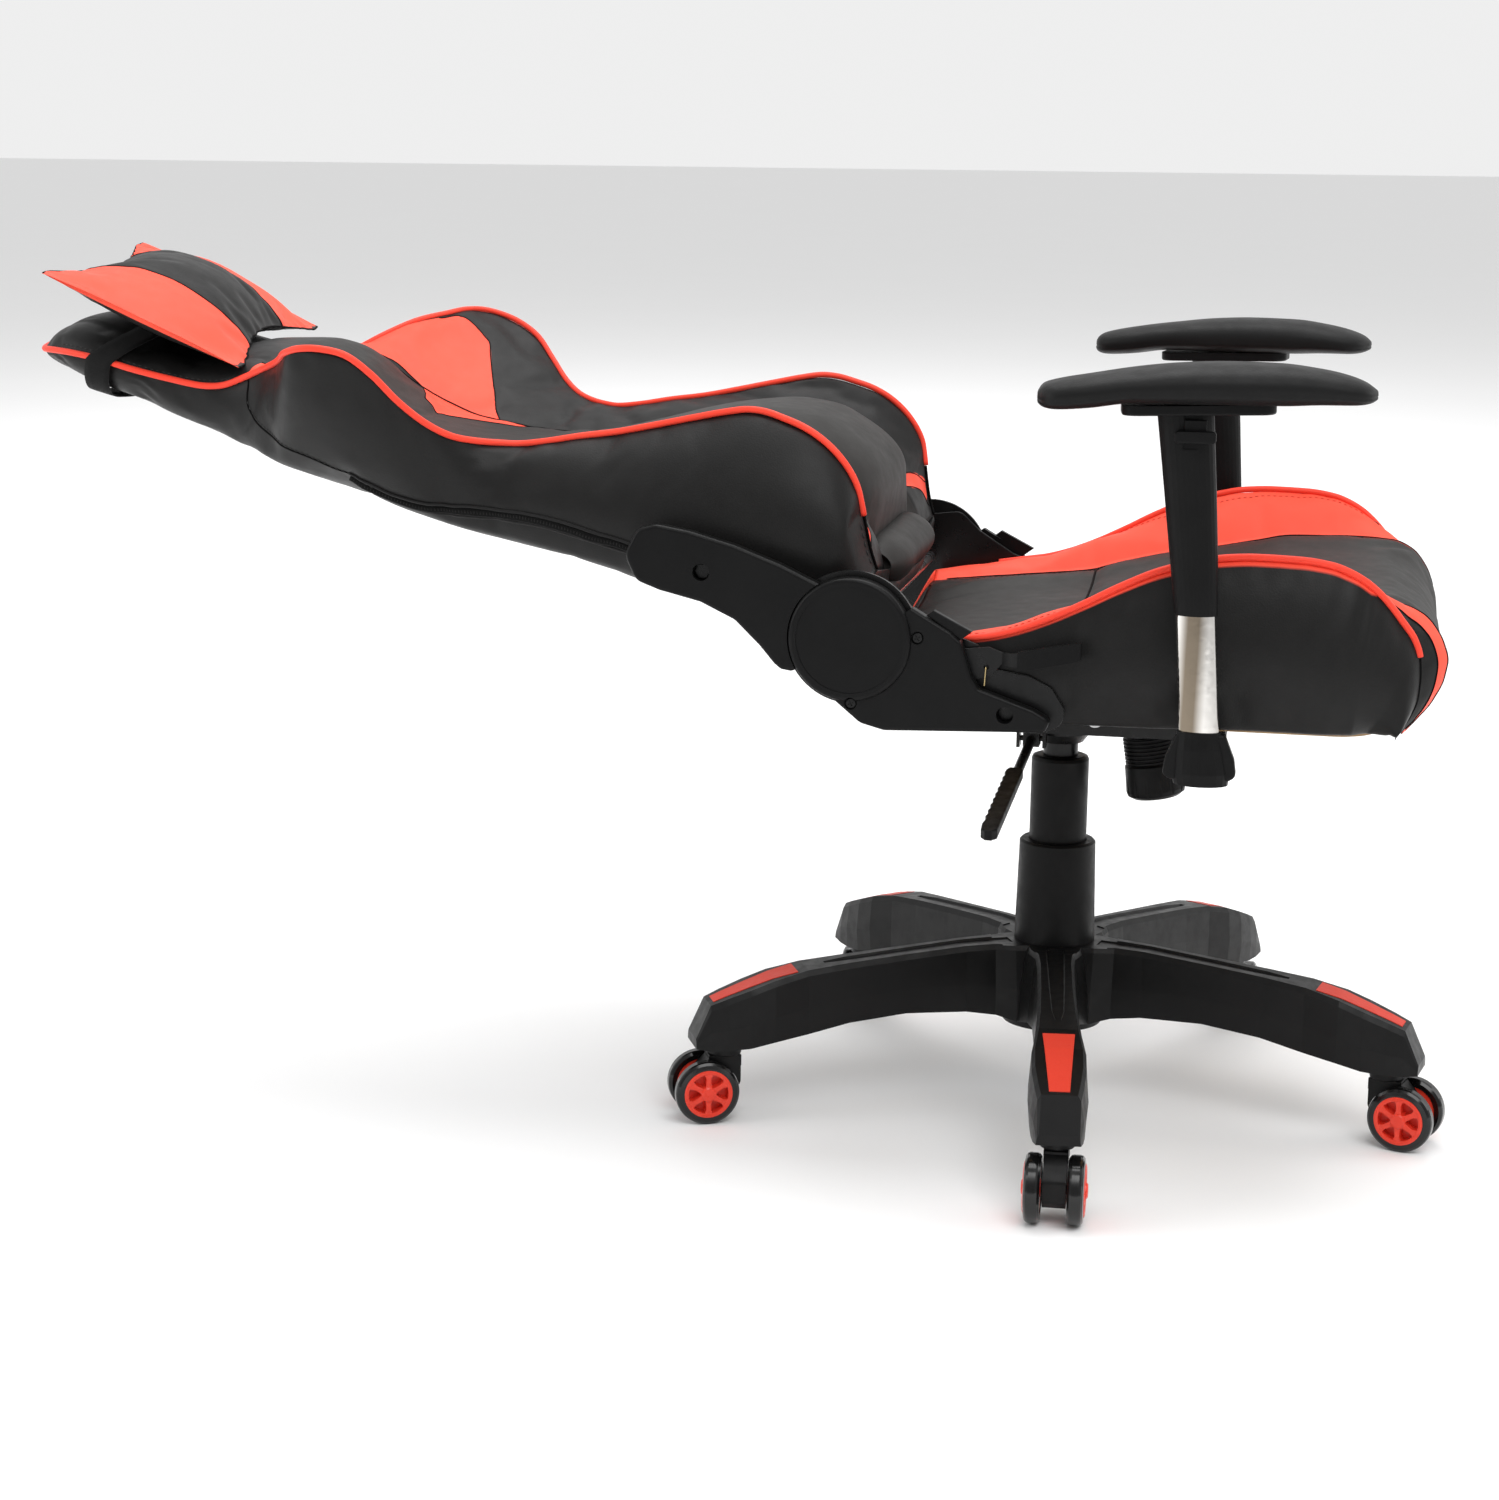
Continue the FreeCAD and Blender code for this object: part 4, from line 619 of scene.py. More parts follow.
def back_yv(u, s):
    """Section of the back at u; s 0 front centre, 1 panel seam, 2 piping, 3 rear corner, 4 rear centre."""
    u = np.asarray(u, float)
    s = np.asarray(s, float)
    u, s = np.broadcast_arrays(u, s)
    c = pchip(RT[:, 0], RT[:, 1:], u)
    yb, vb, yi, vi, yp, vp, ym, vm, yr, vr, vrc = [c[..., k] for k in range(11)]
    vc = pchip(CEN_U, CEN_V, u)
    y = np.zeros_like(u)
    v = np.zeros_like(u)
    a = s <= 1
    t = s
    drop = np.clip(1 - np.power(np.clip(t, 0, 1), 5.0), 0, 1) ** 0.55
    y = np.where(a, yb * t, y)
    v = np.where(a, vb + (vc - vb) * drop, v)
    b = (s > 1) & (s <= 2)
    t = s - 1
    y = np.where(b, quad(yb, yi, yp, t), y)
    v = np.where(b, quad(vb, vi, vp, t), v)
    c3 = (s > 2) & (s <= 3)
    t = s - 2
    y = np.where(c3, quad(yp, ym, yr, t), y)
    v = np.where(c3, quad(vp, vm, vr, t), v)
    d = s > 3
    t = np.clip(s - 3, 0, 1)
    # the rear corner is rounded over
    y = np.where(d, yr * (1 - t), y)
    v = np.where(d, vr + (vrc - vr) * t - 3.0 * np.sin(np.pi * np.clip(t * 1.0, 0, 1)) ** 0.5 * np.minimum(1, 8 * t), v)
    return y, v


def SB(u, s, side=1, lift=0.0):
    """Point on the back's surface in metres, lifted along the normal by lift mm."""
    u = np.asarray(u, float)
    s = np.asarray(s, float)
    u, s = np.broadcast_arrays(u, s)
    # the cover on the sitter's right has slipped a little towards the seat at the shoulder
    ul = u + (5.0 * np.exp(-((u - 588.0) / 34.0) ** 2) if side < 0 else 0.0)
    y, v = back_yv(ul, s)
    if side < 0:
        v = v + (7.0 * np.exp(-((u - 485.0) / 32.0) ** 2) - 11.0 * np.exp(-((u - 562.0) / 27.0) ** 2)) * np.clip(1 - 0.8 * np.abs(s - 2), 0, 1)
    P = B(u, side * y, v)
    if lift:
        e = 1e-2
        y1, v1 = back_yv(ul, np.clip(s + e, 0, 4))
        y0, v0 = back_yv(ul, np.clip(s - e, 0, 4))
        dS = B(u, side * y1, v1) - B(u, side * y0, v0)
        yu, vu = back_yv(np.clip(ul + 1.5, U_LO, U_HI), s)
        yd, vd = back_yv(np.clip(ul - 1.5, U_LO, U_HI), s)
        dU = B(np.clip(u + 1.5, U_LO, U_HI), side * yu, vu) - B(np.clip(u - 1.5, U_LO, U_HI), side * yd, vd)
        N = np.cross(dU, dS) * (-side)
        N /= np.linalg.norm(N, axis=-1, keepdims=True) + 1e-12
        # outwards is away from the middle of the section
        mid = B(u, 0 * y + side * 40, 0 * v)
        flip = np.sign(np.sum(N * (P - mid), axis=-1, keepdims=True))
        P = P + N * flip * lift * MM
    return P


def knots(lo, hi, step, dense):
    """Stations from lo to hi about step apart, closer where dense says."""
    out = [lo]
    while out[-1] < hi - 1e-6:
        x = out[-1]
        h = step
        for a, b, d in dense:
            if a <= x < b:
                h = min(h, d)
        out.append(min(hi, x + h))
    if len(out) > 2 and out[-1] - out[-2] < 0.4 * step:
        out.pop(-2)
    return np.array(out)


# ---- the back's cover: one skin from rear to rear, with the seams held by the piping
us = knots(U_LO, U_HI, 6.0, [(24, 42, 1.6), (540, 620, 4.5), (785, 827, 2.4)])
half = np.concatenate([np.linspace(0, 0.8, 9)[:-1], np.linspace(0.8, 1.0, 6)[:-1], np.linspace(1, 2, 17)[:-1], np.linspace(2, 3, 18)[:-1], np.linspace(3, 4, 11)[:-1]])
s_full = np.concatenate([half, [4.0], -half[1:][::-1]])
nS = len(s_full)
UU, SS = np.meshgrid(us, s_full, indexing="ij")
Pr = np.where(SS[..., None] >= 0, SB(UU, np.abs(SS), 1), SB(UU, np.abs(SS), -1))
V0 = Pr.reshape(-1, 3)
F0 = grid_faces(len(us), nS, True)
rows_uv = np.stack([UU.reshape(-1), SS.reshape(-1)], axis=1)


def close_ring(V, F, ring, centre, bulge, steps=4, uv=None, uvv=None):
    """Closes the hole at a ring of vertices with a domed cap."""
    base = np.array([V[i] for i in ring])
    prev = list(ring)
    m = len(ring)
    for k in range(1, steps):
        t = k / steps
        q = base + (centre - base) * (1 - math.cos(t * math.pi / 2)) + bulge * math.sin(t * math.pi / 2)
        o = len(V)
        for p, i in zip(q, ring):
            V.append(p)
            if uv is not None:
                uv.append(uvv[i])
        for j in range(m):
            F.append((prev[j], o + j, o + (j + 1) % m, prev[(j + 1) % m]))
        prev = list(range(o, o + m))
    V.append(centre + bulge)
    if uv is not None:
        uv.append(uvv[ring[0]])
    c = len(V) - 1
    for j in range(m):
        F.append((prev[j], c, prev[(j + 1) % m]))


Vb = [p for p in V0]
uvb = [tuple(q) for q in rows_uv]
uv_src = [tuple(q) for q in rows_uv]
lowring = list(range(nS))
topring = [(len(us) - 1) * nS + j for j in range(nS)]
c_low = np.mean(V0[lowring], axis=0)
c_top = np.mean(V0[topring], axis=0)
axis_u = (B(1, 0, 0) - B(0, 0, 0)) * 1000.0
Fb = list(F0)
close_ring(Vb, Fb, lowring[::-1], c_low, -axis_u * 0.006, 5, uvb, uv_src)
close_ring(Vb, Fb, topring, c_top, axis_u * 0.005, 4, uvb, uv_src)
Vb = np.array(Vb)
uvb = np.array(uvb)


# width of the wing's inner face along the back, for measuring across it
def across(u, s):
    """Distance in mm from the middle of the front, round to s."""
    u = np.asarray(u, float)
    a = np.abs(np.asarray(s, float))
    c = pchip(RT[:, 0], RT[:, 1:], u)
    w1 = np.hypot(c[..., 4] - c[..., 0], c[..., 5] - c[..., 1]) + 2
    return np.where(a <= 1, c[..., 0] * a, np.where(a <= 2, c[..., 0] + w1 * (a - 1), c[..., 0] + w1 + 90 * (a - 2)))


RED_BACK = [(438, 1.0), (467, 1.35), (497, 1.70), (526, 1.815), (555, 1.93), (566, 2.03), (608, 2.03), (606, 1.22), (590, 1.18), (568, 1.12), (545, 1.06), (522, 1.0),
            (514, 0.77), (504, 0.54), (488, 0.42), (470, 0.29), (420, 0.60), (372, 0.97)]
RED_FOOT = [(33, 1.03), (22, 1.5), (9, 2.02), (20, 2.02), (32, 1.5), (43, 1.03)]


def dense(poly, n=6):
    out = []
    for i in range(len(poly)):
        a, b = poly[i], poly[(i + 1) % len(poly)]
        for k in range(n):
            out.append((a[0] + (b[0] - a[0]) * k / n, a[1] + (b[1] - a[1]) * k / n))
    return out


def outline_back(poly):
    d = dense(poly)
    return [(u, float(across(u, s_))) for u, s_ in d]


def face_idx(F, uv, fn):
    out = []
    for f in F:
        u = np.mean([uv[i][0] for i in f])
        ss = [uv[i][1] for i in f]
        if max(ss) - min(ss) > 4:
            s = 4.0
        else:
            s = float(np.mean(ss))
        out.append(fn(u, s))
    return out


back = make("back_upholstery", Vb, Fb, ["pu_two"])
flat = np.stack([uvb[:, 0], across(uvb[:, 0], uvb[:, 1])], 1)
capv = np.zeros(len(Vb), bool)
capv[len(V0):] = True
redd = np.maximum(inside_mm(flat, outline_back(RED_BACK)), inside_mm(flat, outline_back(RED_FOOT)))
redd = np.minimum(redd, (1.94 - np.abs(uvb[:, 1])) * 100)
redd = np.where((uvb[:, 1] < 0) & (uvb[:, 0] > 400), np.minimum(redd, (1.86 - np.abs(uvb[:, 1])) * 100), redd)
redd = np.where(capv, -5.0, redd)
pand = np.minimum(120.0 - flat[:, 1], 606 - uvb[:, 0])
pand = np.where(capv, -5.0, pand)
set_attr(back, "red", redd)
set_attr(back, "panel", pand)
a_s = np.abs(uvb[:, 1])
pin = np.zeros(len(Vb))
pin[(np.abs(a_s - 2.0) < 0.035) | (a_s > 3.3)] = 1.0
pin[(np.abs(a_s - 1.0) < 0.02)] = 1.0
pin[(uvb[:, 0] <= U_LO + 0.1) | (uvb[:, 0] >= U_HI - 6)] = 1.0
puff(back, pin, 0.006, pressure=2.5, grow=0.006, frames=16)

# creases gathered at the shoulder piping and on the side just below it
co = verts_of(back)
nr = np.empty(len(co) * 3)
back.data.vertices.foreach_get("normal", nr)
nr = nr.reshape(-1, 3)
uu, aa = uvb[:, 0], np.abs(uvb[:, 1])
gather = np.exp(-((uu - 524) / 24.0) ** 2) * np.exp(-((aa - 2.10) / 0.10) ** 2)
wr = np.sin(uu * 0.85 + 2 * value_noise(co, 40, 3)) * gather * 2.3
gather2 = np.exp(-((uu - 500) / 60.0) ** 2) * np.exp(-((aa - 2.28) / 0.25) ** 2)
wr += value_noise(np.stack([uu * 0.05, aa * 2.0, uu * 0], 1), 1.0, 5) * gather2 * 1.4
soft = value_noise(co, 8, 9) * 0.9 + value_noise(co, 26, 11) * 0.22
soft *= np.where((aa > 1.05) & (aa < 3.2) & (np.abs(aa - 2) > 0.08), 1.0, 0.25) * np.where(uu < 610, 1, 0.4)
co += nr * ((wr + soft) * MM)[:, None]
back.data.vertices.foreach_set("co", co.reshape(-1))
back.data.update()
subdiv(back)
back_skin = skin_of(back)
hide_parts("back_cushion", "back_wing_right", "back_wing_left")
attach(back, "backrest")


def piece(name, vf, mats, body, idx=None, smooth=True):
    ob = make(name, vf[0], vf[1], mats, idx, smooth)
    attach(ob, body)
    return ob


# ---- piping of the back: up both wings, over the shoulders and round the head
pip_u = [26, 31, 37, 47, 62, 79, 97, 117, 134, 150, 167, 188, 225, 257, 288, 318, 340, 352, 372, 391, 411, 435, 460, 484, 506, 525, 540, 552, 571, 591, 612, 629, 647, 678, 716, 754, 784, 804, 816, 823]
right = [SB(u, 2.0, -1) for u in pip_u]
left = [SB(u, 2.0, 1) for u in pip_u]
top_mid = [B(828.0, y, 1.5) for y in (-80, -45, -15, 15, 45, 80)]
outwards = B(0, 0, 1) - B(0, 0, 0)
path = [p + (p - B(u, 0, 30)) / np.linalg.norm(p - B(u, 0, 30)) * 0.0016 for p, u in zip(right, pip_u)]
path += [p for p in top_mid]
path += [p + (p - B(u, 0, 30)) / np.linalg.norm(p - B(u, 0, 30)) * 0.0016 for p, u in zip(left[::-1], pip_u[::-1])]
pip = piece("back_piping", tube(path, 0.0030, 10, 620), ["piping"], "backrest")

def s_for_v(u, v):
    """Place on the side of the wing where the section has height v."""
    ss = np.linspace(2.0, 3.0, 81)
    _, vv = back_yv(np.full(81, float(u)), ss)
    k = int(np.argmin(np.abs(vv - v)))
    return float(ss[k])


# ---- seams and stitching of the back
sm = []
st_b = []
st_r = []
for sd in (-1, 1):
    # panel seam
    sm.append(tube(lay(back_skin, SB(np.linspace(44, 600, 200), np.full(200, 1.0), sd), 0.0), 0.0010, 6))
    # below the piping: plain seam with stitches down the wing's lower end
    low = [SB(26, 2.0, sd, 0.6), SB(20, 2.0, sd, 0.6), SB(13, 2.0, sd, 0.6), SB(7, 2.0, sd, 0.6), SB(3.2, 2.0, sd, 0.6)]
    sm.append(tube(low, 0.0013, 6, 14))
    st_b.append(dashes(lay(back_skin, SB(np.linspace(26, 3.5, 20), np.full(20, 2.07), sd), 0.3), 40, 0.005, 0.003, 0.0006))
    # edges of the stripe at the wing's foot and of the shoulder patch
    for ua, ub, uc in ((33, 22, 9), (43, 32, 20)):
        sm.append(tube(lay(back_skin, smooth_path([SB(ua, 1.05, sd), SB(ub, 1.5, sd), SB(uc, 1.95, sd)], 30), 0.0), 0.0006, 6))
    for lo_, hi_ in ((0, 5), (7, 12), (11, 18)):
        seg = RED_BACK[lo_:hi_]
        dn = [(a_[0] + (b_[0] - a_[0]) * k / 4, a_[1] + (b_[1] - a_[1]) * k / 4) for a_, b_ in zip(seg[:-1], seg[1:]) for k in range(4)] + [seg[-1]]
        sm.append(tube(lay(back_skin, smooth_path([SB(u, s_, sd) for u, s_ in dn], 90), 0.0), 0.0007, 6))
    # stitches beside the piping of the head
    st_b.append(dashes(lay(back_skin, SB(np.linspace(628, 800, 160), np.full(160, 1.86), sd), 0.25), 240, 0.0036, 0.0022, 0.00045))
    # seam of the side, from the shoulder's piping down to the rear gusset
    side_seam = [SB(606, 2.02, sd, 0.3), SB(603, 2.12, sd, 0.2)] + [SB(u, s_for_v(u, v), sd, 0.15) for u, v in
                 ((598, 24), (590, 16), (578, 11), (560, 8), (545, 6), (530, 4), (510, 1), (490, -2), (470, -6), (454, -10), (438, -13))]
    side_line = smooth_path(side_seam, 160)
    sm.append(tube(lay(back_skin, side_line, 0.1), 0.0009, 6))
    st_b.append(dashes(lay(back_skin, side_line[8:] + np.array((0.0006, 0, 0.0026)), 0.25), 320, 0.0036, 0.0022, 0.0005))
parts_ = piece("back_seams", join(sm), ["seam"], "backrest")
piece("back_stitches", join(st_b), ["thread"], "backrest")


# zip gusset low on each side
gus = [(475, -8), (454, -10), (436, -12), (419, -13), (400, -11), (382, -8), (360, -3), (337, 2), (315, 6), (292, 9), (270, 10), (246, 11), (225, 12), (206, 12)]
zp, zw = [], []
for sd in (-1, 1):
    mid = lay(back_skin, smooth_path([SB(u, s_for_v(u, v), sd) for u, v in gus], 130), 0.5)
    zp.append(tube(mid, 0.0042, 8, flat=0.30, up=np.array((0, sd, 0.0))))
    for off in (-4.4, 4.4):
        ln_ = lay(back_skin, smooth_path([SB(u, s_for_v(u, v + off), sd) for u, v in gus], 130), 0.6)
        zw.append(tube(ln_, 0.0016, 7))
    teeth = lay(back_skin, smooth_path([SB(u, s_for_v(u, v), sd) for u, v in gus], 190), 1.8)
    for i in range(1, len(teeth) - 1, 2):
        d = teeth[i + 1] - teeth[i - 1]
        d /= np.linalg.norm(d)
        n_ = np.cross(d, (0, sd, 0))
        n_ /= np.linalg.norm(n_)
        zw.append(tube([teeth[i] - n_ * 0.0012, teeth[i] + n_ * 0.0012], 0.0006, 5))
piece("back_zip_tape", join(zp), ["zip"], "backrest")
piece("back_zip_welts", join(zw), ["pu_black"], "backrest")

# ---- two small rolls that close the foot of the back
for k, (u0, v0, ru, rv, half_y, rot) in enumerate([(9.0, 43.0, 24.0, 20.0, 121.0, 20.0), (3.0, 20.0, 14.0, 13.0, 121.0, 0.0)]):
    ys = np.concatenate([[-1.0, -0.992, -0.975, -0.94], np.linspace(-0.9, 0.9, 25), [0.94, 0.975, 0.992, 1.0]])
    Vr, uvr = [], []
    na = 28
    for t in ys:
        edge = (1 - abs(t) ** 8) ** 0.5 if abs(t) < 1 else 0.02
        for j in range(na):
            a = 2 * math.pi * j / na
            cu = math.copysign(abs(math.cos(a)) ** 0.85, math.cos(a)) * ru * (0.80 + 0.20 * edge) * max(edge, 0.55)
            cv = math.copysign(abs(math.sin(a)) ** 0.85, math.sin(a)) * rv * (0.80 + 0.20 * edge) * max(edge, 0.55)
            r0 = math.radians(rot)
            Vr.append(B(u0 + cu * math.cos(r0) - cv * math.sin(r0), t * half_y, v0 + cu * math.sin(r0) + cv * math.cos(r0)))
    Fr = grid_faces(len(ys), na, True)
    Fr.append(tuple(range(na)))
    Fr.append(tuple((len(ys) - 1) * na + j for j in range(na))[::-1])
    ob = make("back_foot_roll_%d" % (k + 1), Vr, Fr, ["pu_panel"])
    co = verts_of(ob)
    nr = np.empty(len(co) * 3)
    ob.data.vertices.foreach_get("normal", nr)
    nr = nr.reshape(-1, 3)
    co += nr * (value_noise(co, 30, 21 + k) * 0.9 * MM)[:, None]
    ob.data.vertices.foreach_set("co", co.reshape(-1))
    subdiv(ob)
    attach(ob, "backrest")

# ------------------------------------------------------------------ seat
# curves along q: 0 at the rear, 0.62 where the front starts to roll over, 1 at the lower front edge
q_top = np.array([-150, -120, -84, -40, 1, 40, 79, 110, 137, 170, 199, 235, 271], float)
z_top = np.interp(q_top, [-154, -84, 1, 79, 137, 199, 271], [463, 470, 478, 498, 508, 520, 521])
frontc = [(300, 520), (318, 514), (330, 503), (339, 489), (344, 474), (343, 460), (336, 441), (325, 424), (314, 409)]
cenc = [(x, z) for x, z in zip(q_top, z_top)] + frontc
qk = np.concatenate([0.62 * (q_top + 150) / 421.0, np.linspace(0.62, 1.0, 10)[1:]])
pipc = [(-150, 233, 466), (-120, 236, 471), (-84, 239, 477), (-55, 241, 481.5), (-45, 241, 483), (-22, 241, 489), (4, 241, 499), (35, 241, 514), (67, 241, 531), (101, 241, 546), (127, 241, 553), (152, 241, 558),
        (177, 241, 559.5), (214, 241, 558.5), (239, 240, 555), (262, 238, 545.5), (281, 233.5, 530.5), (298, 229, 510), (310, 226, 493), (315, 225, 478), (316, 224.5, 463), (315, 223, 446), (309, 220, 428), (299, 216, 412)]
pip_q = [0.62 * (x + 150) / 421.0 for x, _, _ in pipc[:16]] + list(np.linspace(0.62 * (262 + 150) / 421.0, 1.0, 9)[1:])
C_Q, C_XZ = qk, np.array(cenc, float)
P_Q, P_XYZ = np.array(pip_q), np.array(pipc, float)
dip = 12.0


def seat_pt(q, s):
    """Seat cover: s 0 centre, 1 panel seam, 2 piping, 3 lower outer edge, 4 bottom centre. Returns x, y, z in mm (y >= 0)."""
    q = np.asarray(q, float)
    s = np.asarray(s, float)
    q, s = np.broadcast_arrays(q, s)
    cx = pchip(C_Q, C_XZ, q)
    fr = np.clip((q - 0.62) / 0.38, 0, 1)
    # panel seam
    yb = 198.0 + 6.0 * np.clip((q - 0.3) / 0.3, 0, 1) - 6.0 * fr
    bx = cx[..., 0] - 10.0 * fr
    bz = cx[..., 1] - 1.0
    pp = pchip(P_Q, P_XYZ, q)
    a = s <= 1
    t = np.clip(s, 0, 1)
    dp = dip * (1 - t ** 2) * (1 - 0.25 * fr)
    y = yb * t
    x = cx[..., 0] - 10.0 * fr * t ** 3
    z = bz - dp * np.where(q < 0.62, 1.0, 1 - 0.8 * fr) + 3.0 * np.exp(-((t - 0.82) / 0.12) ** 2)
    b = (s > 1) & (s <= 2)
    t = s - 1
    # the inner face of the bolster is hollow at its foot and rounds over towards the piping
    hgt = pp[..., 2] - bz
    ym = yb + 0.52 * (pp[..., 1] - yb)
    low = np.clip((0.34 - q) / 0.12, 0, 1)
    zm = bz + (0.60 + 0.32 * low) * hgt
    x = np.where(b, quad(bx, 0.5 * (bx + pp[..., 0]) + 4 * fr, pp[..., 0], t), x)
    y = np.where(b, quad(yb, ym, pp[..., 1], t), y)
    z = np.where(b, quad(bz, zm, pp[..., 2], t) + (1.5 + 3.5 * low) * np.sin(np.pi * t), z)
    c = (s > 2) & (s <= 3)
    t = s - 2
    xb = np.interp(q, [0, 0.62, 1.0], [-150, 262, 297])
    zb = np.interp(xb, [-150, 36, 170, 297], [411, 409, 413, 412])
    kx = np.clip((pp[..., 0] - 30) / 70.0, 0, 1)
    kf = np.clip((pp[..., 0] - 250) / 60.0, 0, 1)
    yo = 243.0 + 19.0 * kx - 16 * kf
    yl = 237.0 + 9.0 * kx - 20 * kf
    zo = zb + 0.42 * (pp[..., 2] - zb)
    x = np.where(c, quad(pp[..., 0], 0.5 * (pp[..., 0] + xb), xb, t), x)
    y = np.where(c, quad(pp[..., 1], yo, yl, t), y)
    z = np.where(c, quad(pp[..., 2], zo, zb, t), z)
    d = s > 3
    t = np.clip(s - 3, 0, 1)
    xe = np.interp(q, [0, 0.62, 1.0], [-148, 262, 312])
    x = np.where(d, xb + (xe - xb) * t, x)
    y = np.where(d, yl * (1 - t), y)
    z = np.where(d, zb + (409.6 - zb) * np.minimum(1, t * 6), z)
    return x, y, z


def SP(q, s, side=1, lift=0.0):
    q = np.asarray(q, float)
    s = np.asarray(s, float)
    q, s = np.broadcast_arrays(q, s)
    x, y, z = seat_pt(q, s)
    P = np.stack([x, side * y, z], axis=-1) * MM
    if lift:
        e = 1e-2
        f = 2e-3
        s1, s0 = np.clip(s + e, 0, 4), np.clip(s - e, 0, 4)
        q1, q0 = np.clip(q + f, 0, 1), np.clip(q - f, 0, 1)
        A = np.stack(seat_pt(q, s1), -1) - np.stack(seat_pt(q, s0), -1)
        C = np.stack(seat_pt(q1, s), -1) - np.stack(seat_pt(q0, s), -1)
        N = np.cross(A, C)
        N[..., 1] *= side
        N /= np.linalg.norm(N, axis=-1, keepdims=True) + 1e-12
        mid = np.stack([np.clip(x, -100, 240), y * 0 + 120, z * 0 + 450], -1)
        mid[..., 1] *= side
        fl = np.sign(np.sum(N * (P * 1000 - mid), axis=-1, keepdims=True))
        P = P + N * fl * lift * MM
    return P


def q_of_x(x):
    return 0.62 * (x + 150) / 421.0


qs = np.concatenate([np.linspace(0, 0.62, 60)[:-1], np.linspace(0.62, 1.0, 34)])
halfs = np.concatenate([np.linspace(0, 1, 20)[:-1], np.linspace(1, 2, 13)[:-1], np.linspace(2, 3, 19)[:-1], np.linspace(3, 4, 10)[:-1]])
sf = np.concatenate([halfs, [4.0], -halfs[1:][::-1]])
nq = len(sf)
QQ, SF = np.meshgrid(qs, sf, indexing="ij")
Ps = np.where(SF[..., None] >= 0, SP(QQ, np.abs(SF), 1), SP(QQ, np.abs(SF), -1)).reshape(-1, 3)
Vs = [p for p in Ps]
src = [tuple(q) for q in np.stack([QQ.reshape(-1), SF.reshape(-1)], 1)]
uvs = list(src)
Fs = [f[::-1] for f in grid_faces(len(qs), nq, True)]
ring0 = list(range(nq))
ring1 = [(len(qs) - 1) * nq + j for j in range(nq)]
close_ring(Vs, Fs, ring0, np.mean(Ps[ring0], axis=0), np.array((-0.004, 0, 0)), 5, uvs, src)
close_ring(Vs, Fs, ring1[::-1], np.mean(Ps[ring1], axis=0), np.array((0, 0, -0.0006)), 4, uvs, src)
Vs = np.array(Vs)
uvs = np.array(uvs)


STRIPE = [(0.655, 0.95), (0.69, 0.74), (0.72, 0.60), (0.76, 0.50), (0.84, 0.48), (0.92, 0.54), (1.0, 0.62)]
sq = np.array([p[0] for p in STRIPE])
sw = np.array([p[1] for p in STRIPE])
seat = make("seat_upholstery", Vs, Fs, ["pu_two"])
a_ = np.abs(uvs[:, 1])
qv = uvs[:, 0]
wq = np.hypot(pchip(P_Q, P_XYZ, qv)[:, 1] - 200.0, pchip(P_Q, P_XYZ, qv)[:, 2] - pchip(C_Q, C_XZ, qv)[:, 1])
wq = np.maximum(wq, 34.0)
hi_s = np.where(qv < 0.64, 2.03, np.where(qv < 0.655, 2.03 - (qv - 0.64) / 0.015 * 0.08, 1 + np.interp(qv, sq, sw)))
redd = np.minimum((a_ - 1.0) * wq, (hi_s - a_) * wq)
pand = (1.0 - a_) * 200.0
capv = np.zeros(len(Vs), bool)
capv[len(Ps):] = True
back_end = capv & (qv < 0.01)
redd = np.where(capv & ~back_end, -5.0, redd)
set_attr(seat, "red", redd)
set_attr(seat, "panel", np.where(capv, -5.0, pand))
sa = np.abs(uvs[:, 1])
pin = np.zeros(len(Vs))
pin[(np.abs(sa - 2) < 0.03) | (sa >= 2.98)] = 1
pin[np.abs(sa - 1) < 0.02] = 1
pin[(uvs[:, 0] <= 1e-6) | (uvs[:, 0] >= 1 - 1e-6)] = 1
puff(seat, pin, 0.005, pressure=2.5, grow=0.006, frames=16)
co = verts_of(seat)
nr = np.empty(len(co) * 3)
seat.data.vertices.foreach_get("normal", nr)
nr = nr.reshape(-1, 3)
XS, YS, ZS = co[:, 0] * 1000, co[:, 1] * 1000, co[:, 2] * 1000
Q_SEAM = q_of_x(14.0)
g = -3.2 * np.exp(-((uvs[:, 0] - Q_SEAM) / 0.0075) ** 2) * (sa < 0.99)
g += 1.4 * np.exp(-((uvs[:, 0] - Q_SEAM - 0.03) / 0.02) ** 2) * (sa < 0.99)
g += (value_noise(co, 9, 31) * 1.2 + value_noise(co, 30, 33) * 0.35) * np.where((sa < 2.9) & (np.abs(sa - 2) > 0.1), 1, 0.15)
# folds towards the front corners
corner = np.exp(-((uvs[:, 0] - 0.60) / 0.06) ** 2) * np.exp(-((sa - 2.2) / 0.2) ** 2)
g += corner * (1.5 * np.sin(uvs[:, 0] * 190 + sa * 9))
co += nr * (g * MM)[:, None]
seat.data.vertices.foreach_set("co", co.reshape(-1))
ease(seat, (uvs[:, 0] > 0.93) & (sa > 2.55) & (sa < 3.35), 14)
subdiv(seat)
seat_skin = skin_of(seat)
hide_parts("seat_cushion", "seat_bolster_right", "seat_bolster_left")
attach(seat, "seat")

